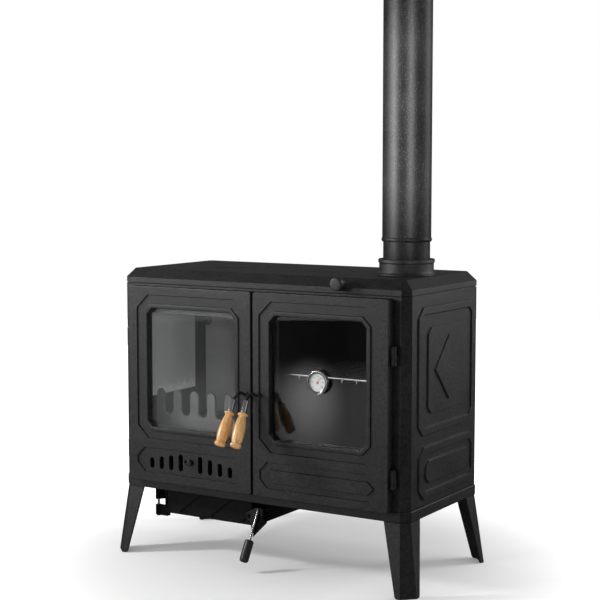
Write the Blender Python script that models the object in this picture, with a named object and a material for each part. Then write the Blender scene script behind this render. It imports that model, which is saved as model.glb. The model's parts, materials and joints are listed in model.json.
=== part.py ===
"""Cast iron stove: glazed firebox door, glazed oven door, ring hobs, flue and ash box.

Lengths are in metres. Z is up and the doors face -Y. The firebox is on the -X side and the oven on the +X side.
The pieces are built with the origin on the floor under the middle of the body, and at the end they all move
along Y together, so that the origin is under the middle of the whole stove, handles and feet included.
"""

import math
from typing import NamedTuple

import bmesh
import bpy
from mathutils import Matrix, Vector

# Clearances
SEAT = 0.0003  # between faces that touch on the real stove
TURN = 0.0004  # round a pin in its bore
SLIP = 0.0008  # round a piece that slides or lifts out
EMBED = 0.001  # how far a rib or boss sinks into the casting that carries it

# Body
WIDTH = 0.830
DEPTH = 0.388
CORNER = 0.019
LEG_HEIGHT = 0.175
BASE_HEIGHT = 0.0265
BASE_LIP = 0.002
BASE_WALL = 0.010
BASE_FLOOR = 0.008
CASING_HEIGHT = 0.503
CASING_WALL = 0.008
CAST_EDGE = 0.0015
SIDE_BAND = 0.020
SIDE_RELIEF = 0.0045
DIAMOND_INSET = (0.029, 0.023)

# Top plate
PLATE_REVEAL = 0.0015
PLATE_EDGE = 0.0135
PLATE_RISE = 0.0225
PLATE_BEVEL = 0.022
PLATE_WALL = 0.009
LIP_INSET = 0.003

# Hobs
HOB_PLACES = (-0.47, 0.229)  # shares of half the width
HOB_Y = -0.006
HOB_RADII = (0.133, 0.0925, 0.0545)
HOB_GAP = 0.0014
HOB_LAP = 0.007
HOB_RIM = 0.004
HOB_THICK = 0.0085
HOB_BOSS_WALL = 0.012
LIFTER_SLOT = (0.024, 0.008, 0.004)

# Flue
FLUE_INSET = (0.099, 0.209)  # from the right side and from the back
STUB_RADIUS = 0.0568
STUB_HEIGHT = 0.138
PIPE_RADIUS = 0.0593
PIPE_LAP = 0.057
PIPE_LENGTH = 0.602
PIPE_WALL = 0.0020
BEAD_HEIGHT = 0.010
BEAD_PROUD = 0.0018
COLLAR_RADIUS = 0.0662
COLLAR_HEIGHT = 0.0385
COLLAR_RIM = 0.0022
COLLAR_FLARE = 0.0040
COLLAR_LEDGE = 0.010

# Damper
DAMPER_BESIDE = 0.080  # from the middle of the flue to the rod
DAMPER_BEHIND = 0.062  # from the middle of the flue to the open blade
DAMPER_ROD_RADIUS = 0.003
DAMPER_ROD_DROP = 0.013
DAMPER_TRAVEL = 0.115
DAMPER_BLADE = (0.156, 0.121, 0.002)
DAMPER_RAIL_WALL = 0.003
DAMPER_RAIL_FOOT = 0.008
DAMPER_KNOB_RADIUS = 0.0140
DAMPER_KNOB_LENGTH = 0.022
DAMPER_KNOB_FRONT = 0.0270

# Doors. Their outlines use u, the distance from the middle of the stove, and z
DOOR_GAP = 0.006
DOOR_MARGIN = 0.0195
DOOR_LAP = 0.002
DOOR_TOP_GAP = 0.004
DOOR_STAND = 0.0255
DOOR_PLATE = 0.008
DOOR_RIM_WALL = 0.010
DOOR_RIM_GAP = 0.0025
DOOR_CORNER = 0.006
DOOR_EDGE = 0.002
FIELD_DEPTH = 0.0038
BEAD_WIDTH = 0.0120
DRAFT = 0.0012
WINDOW_DEPTH = 0.014
GLASS_THICK = 0.004
GLASS_LAP = 0.006
RETAINER_THICK = 0.003
RETAINER_WALL = 0.002
SEAL_WIDTH = 0.0054
SEAL_GROOVE = 0.0032
SEAL_INSET = 0.005

# Door hinges
HINGE_OUT = 0.007
HINGE_STAND = 0.0115
HINGE_KNUCKLE = 0.0065
HINGE_PIN = 0.003
HINGE_HEAD = (0.0052, 0.003)
HINGE_INSETS = (0.0775, 0.1345)  # from the lower and the upper edge of the door
DOOR_KNUCKLE = 0.024
FRAME_KNUCKLE = 0.020

# Door handles
HANDLE_INSET = 0.0145
HANDLE_DROP = 0.002
HANDLE_ROD = 0.0032
HANDLE_TILT = math.radians(30)
HANDLE_SWING = {-1: math.radians(1.0), 1: math.radians(4.5)}
HANDLE_BOSS = (0.0085, 0.0030)
FERRULE_RADIUS = 0.0060
FERRULE_LENGTH = 0.033
FERRULE_BORE_DEPTH = 0.013
GRIP_LENGTH = 0.086
HOOK_THICK = 0.004
HOOK_PEG = 0.0025
HOOK_REACH = 0.014

# Air slide
SLOT_WIDTH = 0.0136
SLOT_ENDS = 0.044
SLOT_LIFT = 0.010
SLOT_HEIGHTS = (0.045, 0.0395, 0.034, 0.028)
SLIDE_THICK = 0.003
SLIDE_TRAVEL = 0.015
SLIDE_MARGIN = 0.0072
SLIDE_LIP = 0.0030
SLIDE_KNOB = (0.0060, 0.0080)
SLIDE_STEM = 0.003

# Thermometer
DIAL_DROP = 0.001
DIAL_RADIUS = 0.0245
BEZEL_RADIUS = 0.0290
CASE_DEPTH = 0.0125
DIAL_THICK = 0.001
NEEDLE_LENGTH = 0.0205
NEEDLE_TURN = math.radians(24)
DIAL_STEM = 0.0045
DIAL_STEM_HOLE = 0.0052

# Oven
OVEN_REVEALS = (0.012, 0.0365, 0.0145)  # beside, below and above the window
OVEN_BEHIND = 0.0465
OVEN_SHEET = 0.0025
OVEN_FLANGE = 0.008
RACK_SIDE_GAP = 0.010
RACK_LIFT = 0.0158
RACK_WIRE = 0.0025
RACK_BAR = 0.0018
RACK_PITCH = 0.040
RACK_INSET = (0.029, 0.0175)
RUNNER = (0.014, 0.0025)

# Firebox
FIRE_MARGINS = (0.0115, 0.0255, 0.0085, 0.013)
GRATE_DROP = 0.017
GRATE_THICK = 0.010
GRATE_INSET = (0.024, 0.034)
GRATE_SLOT = 0.010
GRATE_MARGIN = 0.0525
GRATE_PITCH = 0.027
LEDGE = (0.016, 0.012)
PARTITION_OFFSET = 0.009
PARTITION_THICK = 0.008
PARTITION_DROP = 0.0495
GUARD_INSET = 0.034
GUARD_THICK = 0.007
GUARD_MARGIN = 0.0065
GUARD_FINGER = 0.026
GUARD_FINGERS = 6
GUARD_BAR = 0.041
GUARD_HEIGHT = 0.107
LINER_THICK = 0.008
LINER_LIFT = 0.072
LINER_DROP = 0.0145
LINER_INSET = (0.044, 0.094)
REAR_LINER_INSET = 0.0475

# Ash box
ASH_INSET = (0.085, 0.0025, 0.091, 0.054)  # from the left side, the partition, the front and the back
ASH_DEEP = 0.0705
ASH_WALL = 0.004
ASH_FLANGE = 0.012
ASH_DOOR_INSET = (0.010, 0.015, 0.002, 0.006)
ASH_DOOR_DEPTH = 0.0317
ASH_DOOR_WALL = 0.005
ASH_PAN_ASIDE = 0.035
ASH_BAR_WIDTH = 0.058
ASH_BAR_PITCH = 0.0965
ASH_BAR_LEAN = 1.3
ASH_PIN_OUT = (0.019, 0.032)
ASH_LUG = 0.0080
ASH_LUG_DROPS = (0.083, 0.057, 0.042, 0.017, 0.007)
LEVER_INSET = (0.0225, 0.047)
LEVER_REACH = (0.0275, 0.0845, 0.052)
LEVER_THICK = 0.005
LEVER_PEG = (0.0295, 0.003)
LEVER_ROD = 0.003
LEVER_KNOB = (0.0115, 0.056)

# Heights and planes that follow from the sizes above
BASE_TOP = LEG_HEIGHT + BASE_HEIGHT
CASING_TOP = BASE_TOP + CASING_HEIGHT
PLATE_BOTTOM = CASING_TOP + PLATE_REVEAL
PLATE_TOP = PLATE_BOTTOM + PLATE_EDGE + PLATE_RISE
FRONT = -DEPTH / 2
SIDE = WIDTH / 2
SEAM = DEPTH / 2 - CORNER
DOOR_LATCH_EDGE = DOOR_GAP / 2
DOOR_HINGE_EDGE = SIDE - CORNER - DOOR_MARGIN
DOOR_LOW = BASE_TOP - DOOR_LAP
DOOR_HIGH = CASING_TOP - DOOR_TOP_GAP
DOOR_FACE = FRONT - DOOR_STAND
PLATE_BACK = DOOR_FACE + DOOR_PLATE
RIM_BACK = FRONT - DOOR_RIM_GAP
HINGE_U = DOOR_HINGE_EDGE + HINGE_OUT
HINGE_HEIGHTS = (DOOR_LOW + HINGE_INSETS[0], DOOR_HIGH - HINGE_INSETS[1])
HANDLE_U = DOOR_LATCH_EDGE + HANDLE_INSET
HANDLE_Z = (DOOR_LOW + DOOR_HIGH) / 2 - HANDLE_DROP
HINGE_Y = FRONT - HINGE_STAND
GLASS_FRONT = DOOR_FACE + WINDOW_DEPTH
GLASS_BACK = GLASS_FRONT + GLASS_THICK
RETAINER_FRONT = GLASS_BACK + SEAT
LEFT_HOB = (HOB_PLACES[0] * SIDE, HOB_Y)
RIGHT_HOB = (HOB_PLACES[1] * SIDE, HOB_Y)
FLUE_CENTRE = (SIDE - FLUE_INSET[0], DEPTH / 2 - FLUE_INSET[1])
STUB_TOP = PLATE_TOP + STUB_HEIGHT
PIPE_BOTTOM = STUB_TOP - PIPE_LAP
DAMPER_X = FLUE_CENTRE[0] - DAMPER_BESIDE
DAMPER_BLADE_Y = FLUE_CENTRE[1] + DAMPER_BEHIND
FIREBOX = -1
OVEN = 1

IRON = ("cast_iron_black", (0.020, 0.020, 0.021), 0.55, 0.35)
HOT_IRON = ("hob_iron", (0.030, 0.030, 0.031), 0.50, 0.40)
LINING = ("lining_grey", (0.22, 0.22, 0.215), 0.80, 0.0)
PIPE_STEEL = ("flue_paint", (0.030, 0.031, 0.032), 0.42, 0.30)
STEEL = ("bright_steel", (0.62, 0.62, 0.60), 0.22, 1.0)
BLACK_STEEL = ("black_steel", (0.015, 0.015, 0.015), 0.35, 0.60)
SHEET = ("oven_sheet", (0.035, 0.035, 0.036), 0.38, 0.70)
GLASS = ("door_glass", (0.10, 0.10, 0.10), 0.04, 0.0)
ROPE = ("seal_rope", (0.10, 0.095, 0.09), 0.95, 0.0)
WOOD = ("turned_beech", (0.62, 0.38, 0.17), 0.38, 0.0)
DIAL_WHITE = ("dial_white", (0.80, 0.80, 0.78), 0.40, 0.0)
NEEDLE_RED = ("needle_red", (0.60, 0.03, 0.02), 0.40, 0.0)
BAKELITE = ("black_bakelite", (0.012, 0.012, 0.012), 0.25, 0.0)

FINE = 26
ROUND = 14
SMALL = 12


class Octagon(NamedTuple):
    """Rectangle with 45 degree corners."""

    left: float
    right: float
    low: float
    high: float
    corner: float

    def grow(self, by):
        """Same octagon with every side moved outwards."""
        corner = self.corner + by * (2 - math.sqrt(2))
        return Octagon(self.left - by, self.right + by, self.low - by, self.high + by, corner)

    def points(self, side=1):
        left, right, low, high, c = self
        outline = [
            (left + c, low),
            (right - c, low),
            (right, low + c),
            (right, high - c),
            (right - c, high),
            (left + c, high),
            (left, high - c),
            (left, low + c),
        ]
        return [(side * u, v) for u, v in outline]


BODY = Octagon(-SIDE, SIDE, -DEPTH / 2, DEPTH / 2, CORNER)
FIELD = Octagon(
    DOOR_LATCH_EDGE + 0.0180, DOOR_HINGE_EDGE - 0.0270, DOOR_LOW + 0.1110, DOOR_HIGH - 0.0215, 0.034
)
BEAD = Octagon(
    FIELD.left + 0.0180, FIELD.right - 0.0195, FIELD.low + 0.0195, FIELD.high - 0.0220, 0.022
)
WINDOW = BEAD.grow(-BEAD_WIDTH)
PANE = WINDOW._replace(corner=0.002)
AIR_BAND = Octagon(
    DOOR_LATCH_EDGE + 0.0205, DOOR_HINGE_EDGE - 0.0250, DOOR_LOW + 0.0240, DOOR_LOW + 0.0880, 0.024
)
OVEN_BAND = Octagon(
    DOOR_LATCH_EDGE + 0.0195, DOOR_HINGE_EDGE - 0.0285, DOOR_LOW + 0.0225, DOOR_LOW + 0.0875, 0.022
)
OVEN_BAND_ISLAND = Octagon(
    OVEN_BAND.left + 0.0135, OVEN_BAND.right - 0.0100, OVEN_BAND.low + 0.0160, OVEN_BAND.high - 0.0180, 0.015
)
SIDE_UPPER = Octagon(-SEAM + 0.030, SEAM - 0.011, BASE_TOP + 0.1685, CASING_TOP - 0.0285, 0.025)
SIDE_UPPER_ISLAND = SIDE_UPPER.grow(-0.050)._replace(corner=0.0160)
SIDE_LOWER = Octagon(-SEAM + 0.034, SEAM - 0.007, BASE_TOP + 0.0155, BASE_TOP + 0.1435, 0.026)
SIDE_LOWER_ISLAND = SIDE_LOWER.grow(-0.0370)._replace(corner=0.0150)
DIAMOND = (
    (SIDE_UPPER_ISLAND.right - SIDE_UPPER_ISLAND.left) / 2 - DIAMOND_INSET[0],
    (SIDE_UPPER_ISLAND.high - SIDE_UPPER_ISLAND.low) / 2 - DIAMOND_INSET[1],
)
SLOT_CENTRE = (AIR_BAND.left + AIR_BAND.right) / 2
SLOT_PITCH = (AIR_BAND.right - AIR_BAND.left - 2 * SLOT_ENDS) / 2 / len(SLOT_HEIGHTS)
SLOT_BOTTOM = AIR_BAND.low + SLOT_LIFT
DIAL_Z = (WINDOW.low + WINDOW.high) / 2 - DIAL_DROP
OVEN_CENTRE = (WINDOW.left + WINDOW.right) / 2
OVEN_WIDTH = WINDOW.right - WINDOW.left - 2 * OVEN_REVEALS[0]
OVEN_FLOOR = WINDOW.low - OVEN_REVEALS[1]
OVEN_TOP = WINDOW.high + OVEN_REVEALS[2]
OVEN_BACK = DEPTH / 2 - OVEN_BEHIND
RACK_Z = (OVEN_FLOOR + OVEN_TOP) / 2 + RACK_LIFT
RACK_FRONT = FRONT + RACK_INSET[0]
RACK_DEPTH = OVEN_BACK - RACK_INSET[1] - RACK_FRONT
FIRE_NEAR = WINDOW.left - FIRE_MARGINS[0]
FIRE_FAR = WINDOW.right + FIRE_MARGINS[1]
FIRE_LOW = SLOT_BOTTOM - FIRE_MARGINS[2]
FIRE_HIGH = WINDOW.high - FIRE_MARGINS[3]
PARTITION_X = PARTITION_OFFSET - FIRE_NEAR
PARTITION_TOP = CASING_TOP - PARTITION_DROP
GRATE_TOP = WINDOW.low - GRATE_DROP
GRATE_FRONT = FRONT + GRATE_INSET[0]
GRATE_BACK = DEPTH / 2 - GRATE_INSET[1]
GUARD_Y = FRONT + GUARD_INSET
GUARD_PITCH = (FIRE_FAR - FIRE_NEAR - 2 * GUARD_MARGIN - GUARD_FINGER) / (GUARD_FINGERS - 1)
GUARD_BAR_TOP = GRATE_TOP + GUARD_BAR
GUARD_TOP = GRATE_TOP + GUARD_HEIGHT
LINER_LOW = GRATE_TOP + LINER_LIFT
LINER_TOP = CASING_TOP - LINER_DROP
LINER_REACH = (FRONT + LINER_INSET[0], DEPTH / 2 - LINER_INSET[1])
REAR_LINER_Y = DEPTH / 2 - REAR_LINER_INSET
ASH_LEFT = -SIDE + ASH_INSET[0]
ASH_RIGHT = PARTITION_X - ASH_INSET[1]
ASH_FRONT = FRONT + ASH_INSET[2]
ASH_BACK = DEPTH / 2 - ASH_INSET[3]
ASH_BOTTOM = LEG_HEIGHT - ASH_DEEP
ASH_DOOR = (
    ASH_LEFT + ASH_DOOR_INSET[0],
    ASH_RIGHT - ASH_DOOR_INSET[1],
    ASH_BOTTOM - ASH_DOOR_INSET[2],
    LEG_HEIGHT - ASH_DOOR_INSET[3],
)
ASH_PIN_X = ASH_LEFT - ASH_PIN_OUT[0]
ASH_PIN_Y = ASH_FRONT - ASH_PIN_OUT[1]
ASH_LUG_LOW = (LEG_HEIGHT - ASH_LUG_DROPS[0], LEG_HEIGHT - ASH_LUG_DROPS[1])
ASH_LUG_MIDDLE = (LEG_HEIGHT - ASH_LUG_DROPS[2], LEG_HEIGHT - ASH_LUG_DROPS[3])
ASH_LUG_HIGH = LEG_HEIGHT - ASH_LUG_DROPS[4]
LEVER_PIVOT = (ASH_RIGHT - LEVER_INSET[0], LEG_HEIGHT - LEVER_INSET[1])


def as_mesh(bm):
    bmesh.ops.recalc_face_normals(bm, faces=bm.faces)
    mesh = bpy.data.meshes.new("shape")
    bm.to_mesh(mesh)
    bm.free()
    return mesh


def loft(loops, wrap=False):
    """Solid through loops of equally many points. A wrapped loft is a ring, and another is capped."""
    bm = bmesh.new()
    rows = [[bm.verts.new(point) for point in loop] for loop in loops]
    pairs = list(zip(rows, rows[1:]))
    if wrap:
        pairs.append((rows[-1], rows[0]))
    else:
        bm.faces.new(rows[0])
        bm.faces.new(rows[-1])
    for low, high in pairs:
        for i in range(len(low)):
            j = (i + 1) % len(low)
            bm.faces.new((low[i], low[j], high[j], high[i]))
    return as_mesh(bm)


def spread(axis, outline, level):
    """Points in space of a flat outline that lies across the axis at this level."""
    if axis == "X":
        return [(level, u, v) for u, v in outline]
    if axis == "Y":
        return [(u, level, v) for u, v in outline]
    return [(u, v, level) for u, v in outline]


def prism(axis, outline, low, high):
    return loft([spread(axis, outline, low), spread(axis, outline, high)])


def steps(axis, levels):
    """Capped solid through (outline, level) pairs."""
    return loft([spread(axis, outline, level) for outline, level in levels])


def hoop(axis, levels):
    """Ring-shaped solid whose wall goes round (outline, level) pairs."""
    return loft([spread(axis, outline, level) for outline, level in levels], wrap=True)


def box(x, y, z):
    corners = [(x[0], y[0]), (x[1], y[0]), (x[1], y[1]), (x[0], y[1])]
    return prism("Z", corners, z[0], z[1])


def span(centre, size):
    return (centre - size / 2, centre + size / 2)


def circle(centre, radius, count):
    turns = [2 * math.pi * (i + 0.5) / count for i in range(count)]
    return [(centre[0] + radius * math.cos(t), centre[1] + radius * math.sin(t)) for t in turns]


def cylinder(axis, centre, radius, low, high, count=SMALL):
    return prism(axis, circle(centre, radius, count), low, high)


def turned(axis, centre, profile, count, wrap=False):
    """Solid of revolution from (radius, level) pairs."""
    loops = [spread(axis, circle(centre, radius, count), level) for radius, level in profile]
    return loft(loops, wrap)


def rounded(left, right, low, high, radius, count=3):
    """Rectangle with round corners."""
    outline = []
    middles = [
        (right - radius, low + radius, -90),
        (right - radius, high - radius, 0),
        (left + radius, high - radius, 90),
        (left + radius, low + radius, 180),
    ]
    for u, v, start in middles:
        for i in range(count + 1):
            turn = math.radians(start + 90 * i / count)
            outline.append((u + radius * math.cos(turn), v + radius * math.sin(turn)))
    return outline


def mirrored(side, outline):
    return [(side * u, v) for u, v in outline]


def rod(points, radius, count=8):
    """Round bar along a path in space."""
    path = [Vector(point) for point in points]
    heading = (path[1] - path[0]).normalized()
    across = heading.orthogonal().normalized()
    loops = []
    for i, point in enumerate(path):
        before = (point - path[max(i - 1, 0)]).normalized()
        after = (path[min(i + 1, len(path) - 1)] - point).normalized()
        tangent = (before + after).normalized()
        across = (across - tangent * across.dot(tangent)).normalized()
        beside = tangent.cross(across)
        turns = [2 * math.pi * k / count for k in range(count)]
        loops.append([point + radius * (across * math.cos(t) + beside * math.sin(t)) for t in turns])
    return loft(loops)


def aimed(mesh, start, direction):
    """Mesh that was modelled along +Z from the origin, moved to start and turned to the direction."""
    turn = Vector(direction).to_track_quat("Z", "Y").to_matrix().to_4x4()
    mesh.transform(Matrix.Translation(start) @ turn)
    return mesh


def combine(base, tools, operation):
    """Result of a Boolean of each tool in turn."""
    scene = bpy.context.scene.collection.objects
    target = bpy.data.objects.new("target", base)
    scene.link(target)
    helpers = []
    for tool in tools:
        helper = bpy.data.objects.new("tool", tool)
        scene.link(helper)
        modifier = target.modifiers.new("boolean", "BOOLEAN")
        modifier.operation = operation
        modifier.object = helper
        helpers.append(helper)
    bpy.context.view_layer.update()
    graph = bpy.context.evaluated_depsgraph_get()
    result = bpy.data.meshes.new_from_object(target.evaluated_get(graph))
    for used in [target, *helpers]:
        mesh = used.data
        bpy.data.objects.remove(used)
        bpy.data.meshes.remove(mesh)
    return result


def union(base, *tools):
    return combine(base, tools, "UNION")


def subtract(base, *tools):
    return combine(base, tools, "DIFFERENCE")


def material(finish):
    """Principled material of this finish, made once."""
    name, colour, roughness, metallic = finish
    found = bpy.data.materials.get(name)
    if found:
        return found
    made = bpy.data.materials.new(name)
    made.use_nodes = True
    shader = made.node_tree.nodes["Principled BSDF"]
    shader.inputs["Base Color"].default_value = (*colour, 1)
    shader.inputs["Roughness"].default_value = roughness
    shader.inputs["Metallic"].default_value = metallic
    return made


def piece(name, mesh, finish, origin=(0, 0, 0)):
    """Named object whose origin is its joint's point, where it has one."""
    mesh.transform(Matrix.Translation(-Vector(origin)))
    mesh.polygons.foreach_set("use_smooth", [True] * len(mesh.polygons))
    mesh.set_sharp_from_angle(angle=math.radians(28))
    mesh.name = name
    mesh.materials.clear()
    mesh.materials.append(material(finish))
    obj = bpy.data.objects.new(name, mesh)
    obj.location = origin
    bpy.context.scene.collection.objects.link(obj)
    return obj


def raised(axis, shape, side, base, height):
    """Island with drafted walls on a face; height may point either way along the axis."""
    sink = math.copysign(EMBED, height)
    levels = [
        (shape.grow(DRAFT / 2).points(side), base - sink),
        (shape.grow(DRAFT / 2).points(side), base),
        (shape.grow(-DRAFT / 2).points(side), base + height),
    ]
    return steps(axis, levels)


def raised_band(axis, shape, side, base, height, width):
    """Octagonal band with drafted walls on a face."""
    sink = math.copysign(EMBED, height)
    inner = shape.grow(-width)
    levels = [
        (shape.points(side), base - sink),
        (shape.points(side), base),
        (shape.grow(-DRAFT).points(side), base + height),
        (inner.grow(DRAFT).points(side), base + height),
        (inner.points(side), base),
        (inner.points(side), base - sink),
    ]
    return hoop(axis, levels)


def sunken(axis, shape, side, face, depth):
    """Cutter for a field with drafted walls; depth may point either way along the axis."""
    out = math.copysign(EMBED, depth)
    levels = [
        (shape.grow(DRAFT / 2).points(side), face - out),
        (shape.grow(DRAFT / 2).points(side), face),
        (shape.grow(-DRAFT / 2).points(side), face + depth),
    ]
    return steps(axis, levels)


# Body


def build_base():
    plan = BODY.grow(BASE_LIP)
    levels = [
        (plan.grow(-CAST_EDGE).points(), LEG_HEIGHT),
        (plan.points(), LEG_HEIGHT + CAST_EDGE),
        (plan.points(), BASE_TOP - CAST_EDGE),
        (plan.grow(-CAST_EDGE).points(), BASE_TOP),
        (plan.grow(-BASE_WALL).points(), BASE_TOP),
        (plan.grow(-BASE_WALL).points(), LEG_HEIGHT + BASE_FLOOR),
    ]
    mouth = ASH_WALL + 0.014
    ash_hole = box(
        (ash_pan_left() + 0.006, ASH_RIGHT - mouth - 0.012),
        (ASH_FRONT + mouth, ASH_BACK - mouth),
        (LEG_HEIGHT - EMBED, LEG_HEIGHT + BASE_FLOOR + EMBED),
    )
    piece("base_plate", subtract(steps("Z", levels), ash_hole), IRON)


def wrap_outline(facing):
    """Plan of a wall that wraps both chamfered corners and ends at the seams; facing is -1 for the front."""
    half = SIDE
    y_out = facing * DEPTH / 2
    y_in = facing * (DEPTH / 2 - CASING_WALL)
    y_seam = facing * SEAM
    bend = half - CORNER
    bend_in = bend - CASING_WALL * (math.sqrt(2) - 1)
    end_in = half - CASING_WALL * math.sqrt(2)
    outer = [(-half, y_seam), (-bend, y_out), (bend, y_out), (half, y_seam)]
    inner = [(end_in, y_seam), (bend_in, y_in), (-bend_in, y_in), (-end_in, y_seam)]
    return outer + inner


def frame_knuckle(side, height):
    centre = (side * HINGE_U, HINGE_Y)
    top = height - SEAT
    barrel = cylinder("Z", centre, HINGE_KNUCKLE, top - FRAME_KNUCKLE, top, ROUND)
    ear = box(
        span(side * HINGE_U, HINGE_KNUCKLE * 1.4),
        (HINGE_Y, FRONT + EMBED),
        (top - FRAME_KNUCKLE, top),
    )
    return union(barrel, ear)


def oven_opening():
    return (OVEN_CENTRE - OVEN_WIDTH / 2, OVEN_CENTRE + OVEN_WIDTH / 2, OVEN_FLOOR, OVEN_TOP)


def build_front_frame():
    frame = prism("Z", wrap_outline(-1), BASE_TOP + SEAT, CASING_TOP)
    deep = (FRONT - CASING_WALL, FRONT + 2 * CASING_WALL)
    fire = prism("Y", rounded(-FIRE_FAR, -FIRE_NEAR, FIRE_LOW, FIRE_HIGH, 0.008), *deep)
    oven = prism("Y", rounded(*oven_opening(), 0.004), *deep)
    frame = subtract(frame, fire, oven)
    for side in (FIREBOX, OVEN):
        peg_tip = PLATE_BACK + 2 * TURN
        peg = (side * HANDLE_U, HANDLE_Z - HOOK_REACH)
        frame = union(frame, cylinder("Y", peg, HOOK_PEG, peg_tip, FRONT + EMBED))
        for height in HINGE_HEIGHTS:
            frame = union(frame, frame_knuckle(side, height))
        centre = (side * HINGE_U, HINGE_Y)
        for height in HINGE_HEIGHTS:
            low = height - FRAME_KNUCKLE - EMBED
            bore = cylinder("Z", centre, HINGE_PIN + TURN, low, height, SMALL)
            frame = subtract(frame, bore)
    piece("front_frame", frame, IRON)


def build_back_panel():
    piece("back_panel", prism("Z", wrap_outline(1), BASE_TOP + SEAT, CASING_TOP), IRON)


def build_side_panel(side, name):
    outer = side * (SIDE - CAST_EDGE)
    inner = outer - side * CASING_WALL
    reach = SEAM - SEAT
    plan = [(-reach, BASE_TOP + SEAT), (reach, BASE_TOP + SEAT), (reach, CASING_TOP), (-reach, CASING_TOP)]
    panel = prism("X", plan, min(outer, inner), max(outer, inner))
    relief = side * SIDE_RELIEF
    half_width, half_height = DIAMOND
    x = (SIDE_UPPER_ISLAND.left + SIDE_UPPER_ISLAND.right) / 2
    z = (SIDE_UPPER_ISLAND.low + SIDE_UPPER_ISLAND.high) / 2
    diamond = [(x - half_width, z), (x, z - half_height), (x + half_width, z), (x, z + half_height)]
    slope = 1 - 1.6 * DRAFT / half_width
    crest = [(x + (u - x) * slope, z + (v - z) * slope) for u, v in diamond]
    on_island = outer + relief
    island_top = on_island + relief
    panel = union(
        panel,
        raised_band("X", SIDE_UPPER, 1, outer, relief, SIDE_BAND),
        raised("X", SIDE_UPPER_ISLAND, 1, outer, relief),
        steps("X", [(diamond, outer + relief / 2), (diamond, on_island), (crest, island_top)]),
        raised_band("X", SIDE_LOWER, 1, outer, relief, SIDE_BAND),
        raised("X", SIDE_LOWER_ISLAND, 1, outer, relief),
    )
    if side == FIREBOX:
        panel = union(panel, *side_ledges(inner))
    piece(name, panel, IRON)


def side_ledges(inner):
    """Ledges that carry the grate and the lining on the firebox side panel."""
    width, height = LEDGE
    reach = (inner - EMBED, inner + width)
    grate = box(reach, (GRATE_FRONT + 0.01, GRATE_BACK - 0.01), under(GRATE_TOP - GRATE_THICK, height))
    lining_reach = (inner - EMBED, inner + LINER_THICK + 0.004)
    lining = box(lining_reach, (LINER_REACH[0] + 0.015, LINER_REACH[1] - 0.015), under(LINER_LOW, 0.010))
    return [grate, lining]


def under(level, height):
    """Heights of a ledge whose top is one seat gap below the level."""
    return (level - SEAT - height, level - SEAT)


LEG_TOP = [(-0.062, 0.0), (-CORNER, 0.0), (0.0, -CORNER), (0.0, -0.066)]
LEG_TOP_INNER = [(-0.062, -0.006), (-0.0215, -0.006), (-0.006, -0.0215), (-0.006, -0.066)]
LEG_FLANGE = [(-0.0615, -0.0005), (-0.0190, -0.0005), (-0.0005, -0.0193), (-0.0005, -0.0655), (-0.030, -0.044)]
FOOT = [(-0.0204, 0.0215), (-0.0064, 0.0215), (0.0230, -0.0067), (0.0230, -0.0222)]
FOOT_INNER = [(-0.0204, 0.0155), (-0.0089, 0.0155), (0.0170, -0.0097), (0.0170, -0.0222)]
FOOT_ROUND = ((0.005, 0.0), (0.0015, 0.0015), (0.0, 0.005))


def leg_loop(height, trim):
    """Section of the leg shell, from the body's corner; trim shortens it at both free edges."""
    share = height / LEG_HEIGHT
    outer = [blend(low, high, share) for low, high in zip(FOOT, LEG_TOP)]
    inner = [blend(low, high, share) for low, high in zip(FOOT_INNER, LEG_TOP_INNER)]
    for face in (outer, inner):
        face[0] = (face[0][0] + trim, face[0][1])
        face[3] = (face[3][0], face[3][1] + trim)
    return outer + inner[::-1]


def blend(low, high, share):
    return tuple(a + (b - a) * share for a, b in zip(low, high))


def at_corner(outline, side_x, side_y):
    """Outline measured from the body's corner, at one of the four corners."""
    return [(side_x * (SIDE + u), side_y * (DEPTH / 2 + v)) for u, v in outline]


def build_leg(name, side_x, side_y):
    top = LEG_HEIGHT - SEAT
    heights = [(top, 0.0)] + list(FOOT_ROUND)
    loops = [
        spread("Z", at_corner(leg_loop(height, trim), side_x, side_y), height) for height, trim in heights
    ]
    flange = prism("Z", at_corner(LEG_FLANGE, side_x, side_y), top - 0.006, top)
    piece(name, union(loft(loops), flange), IRON)


# Top


def hob_lap_level():
    return PLATE_TOP - HOB_RIM


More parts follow.
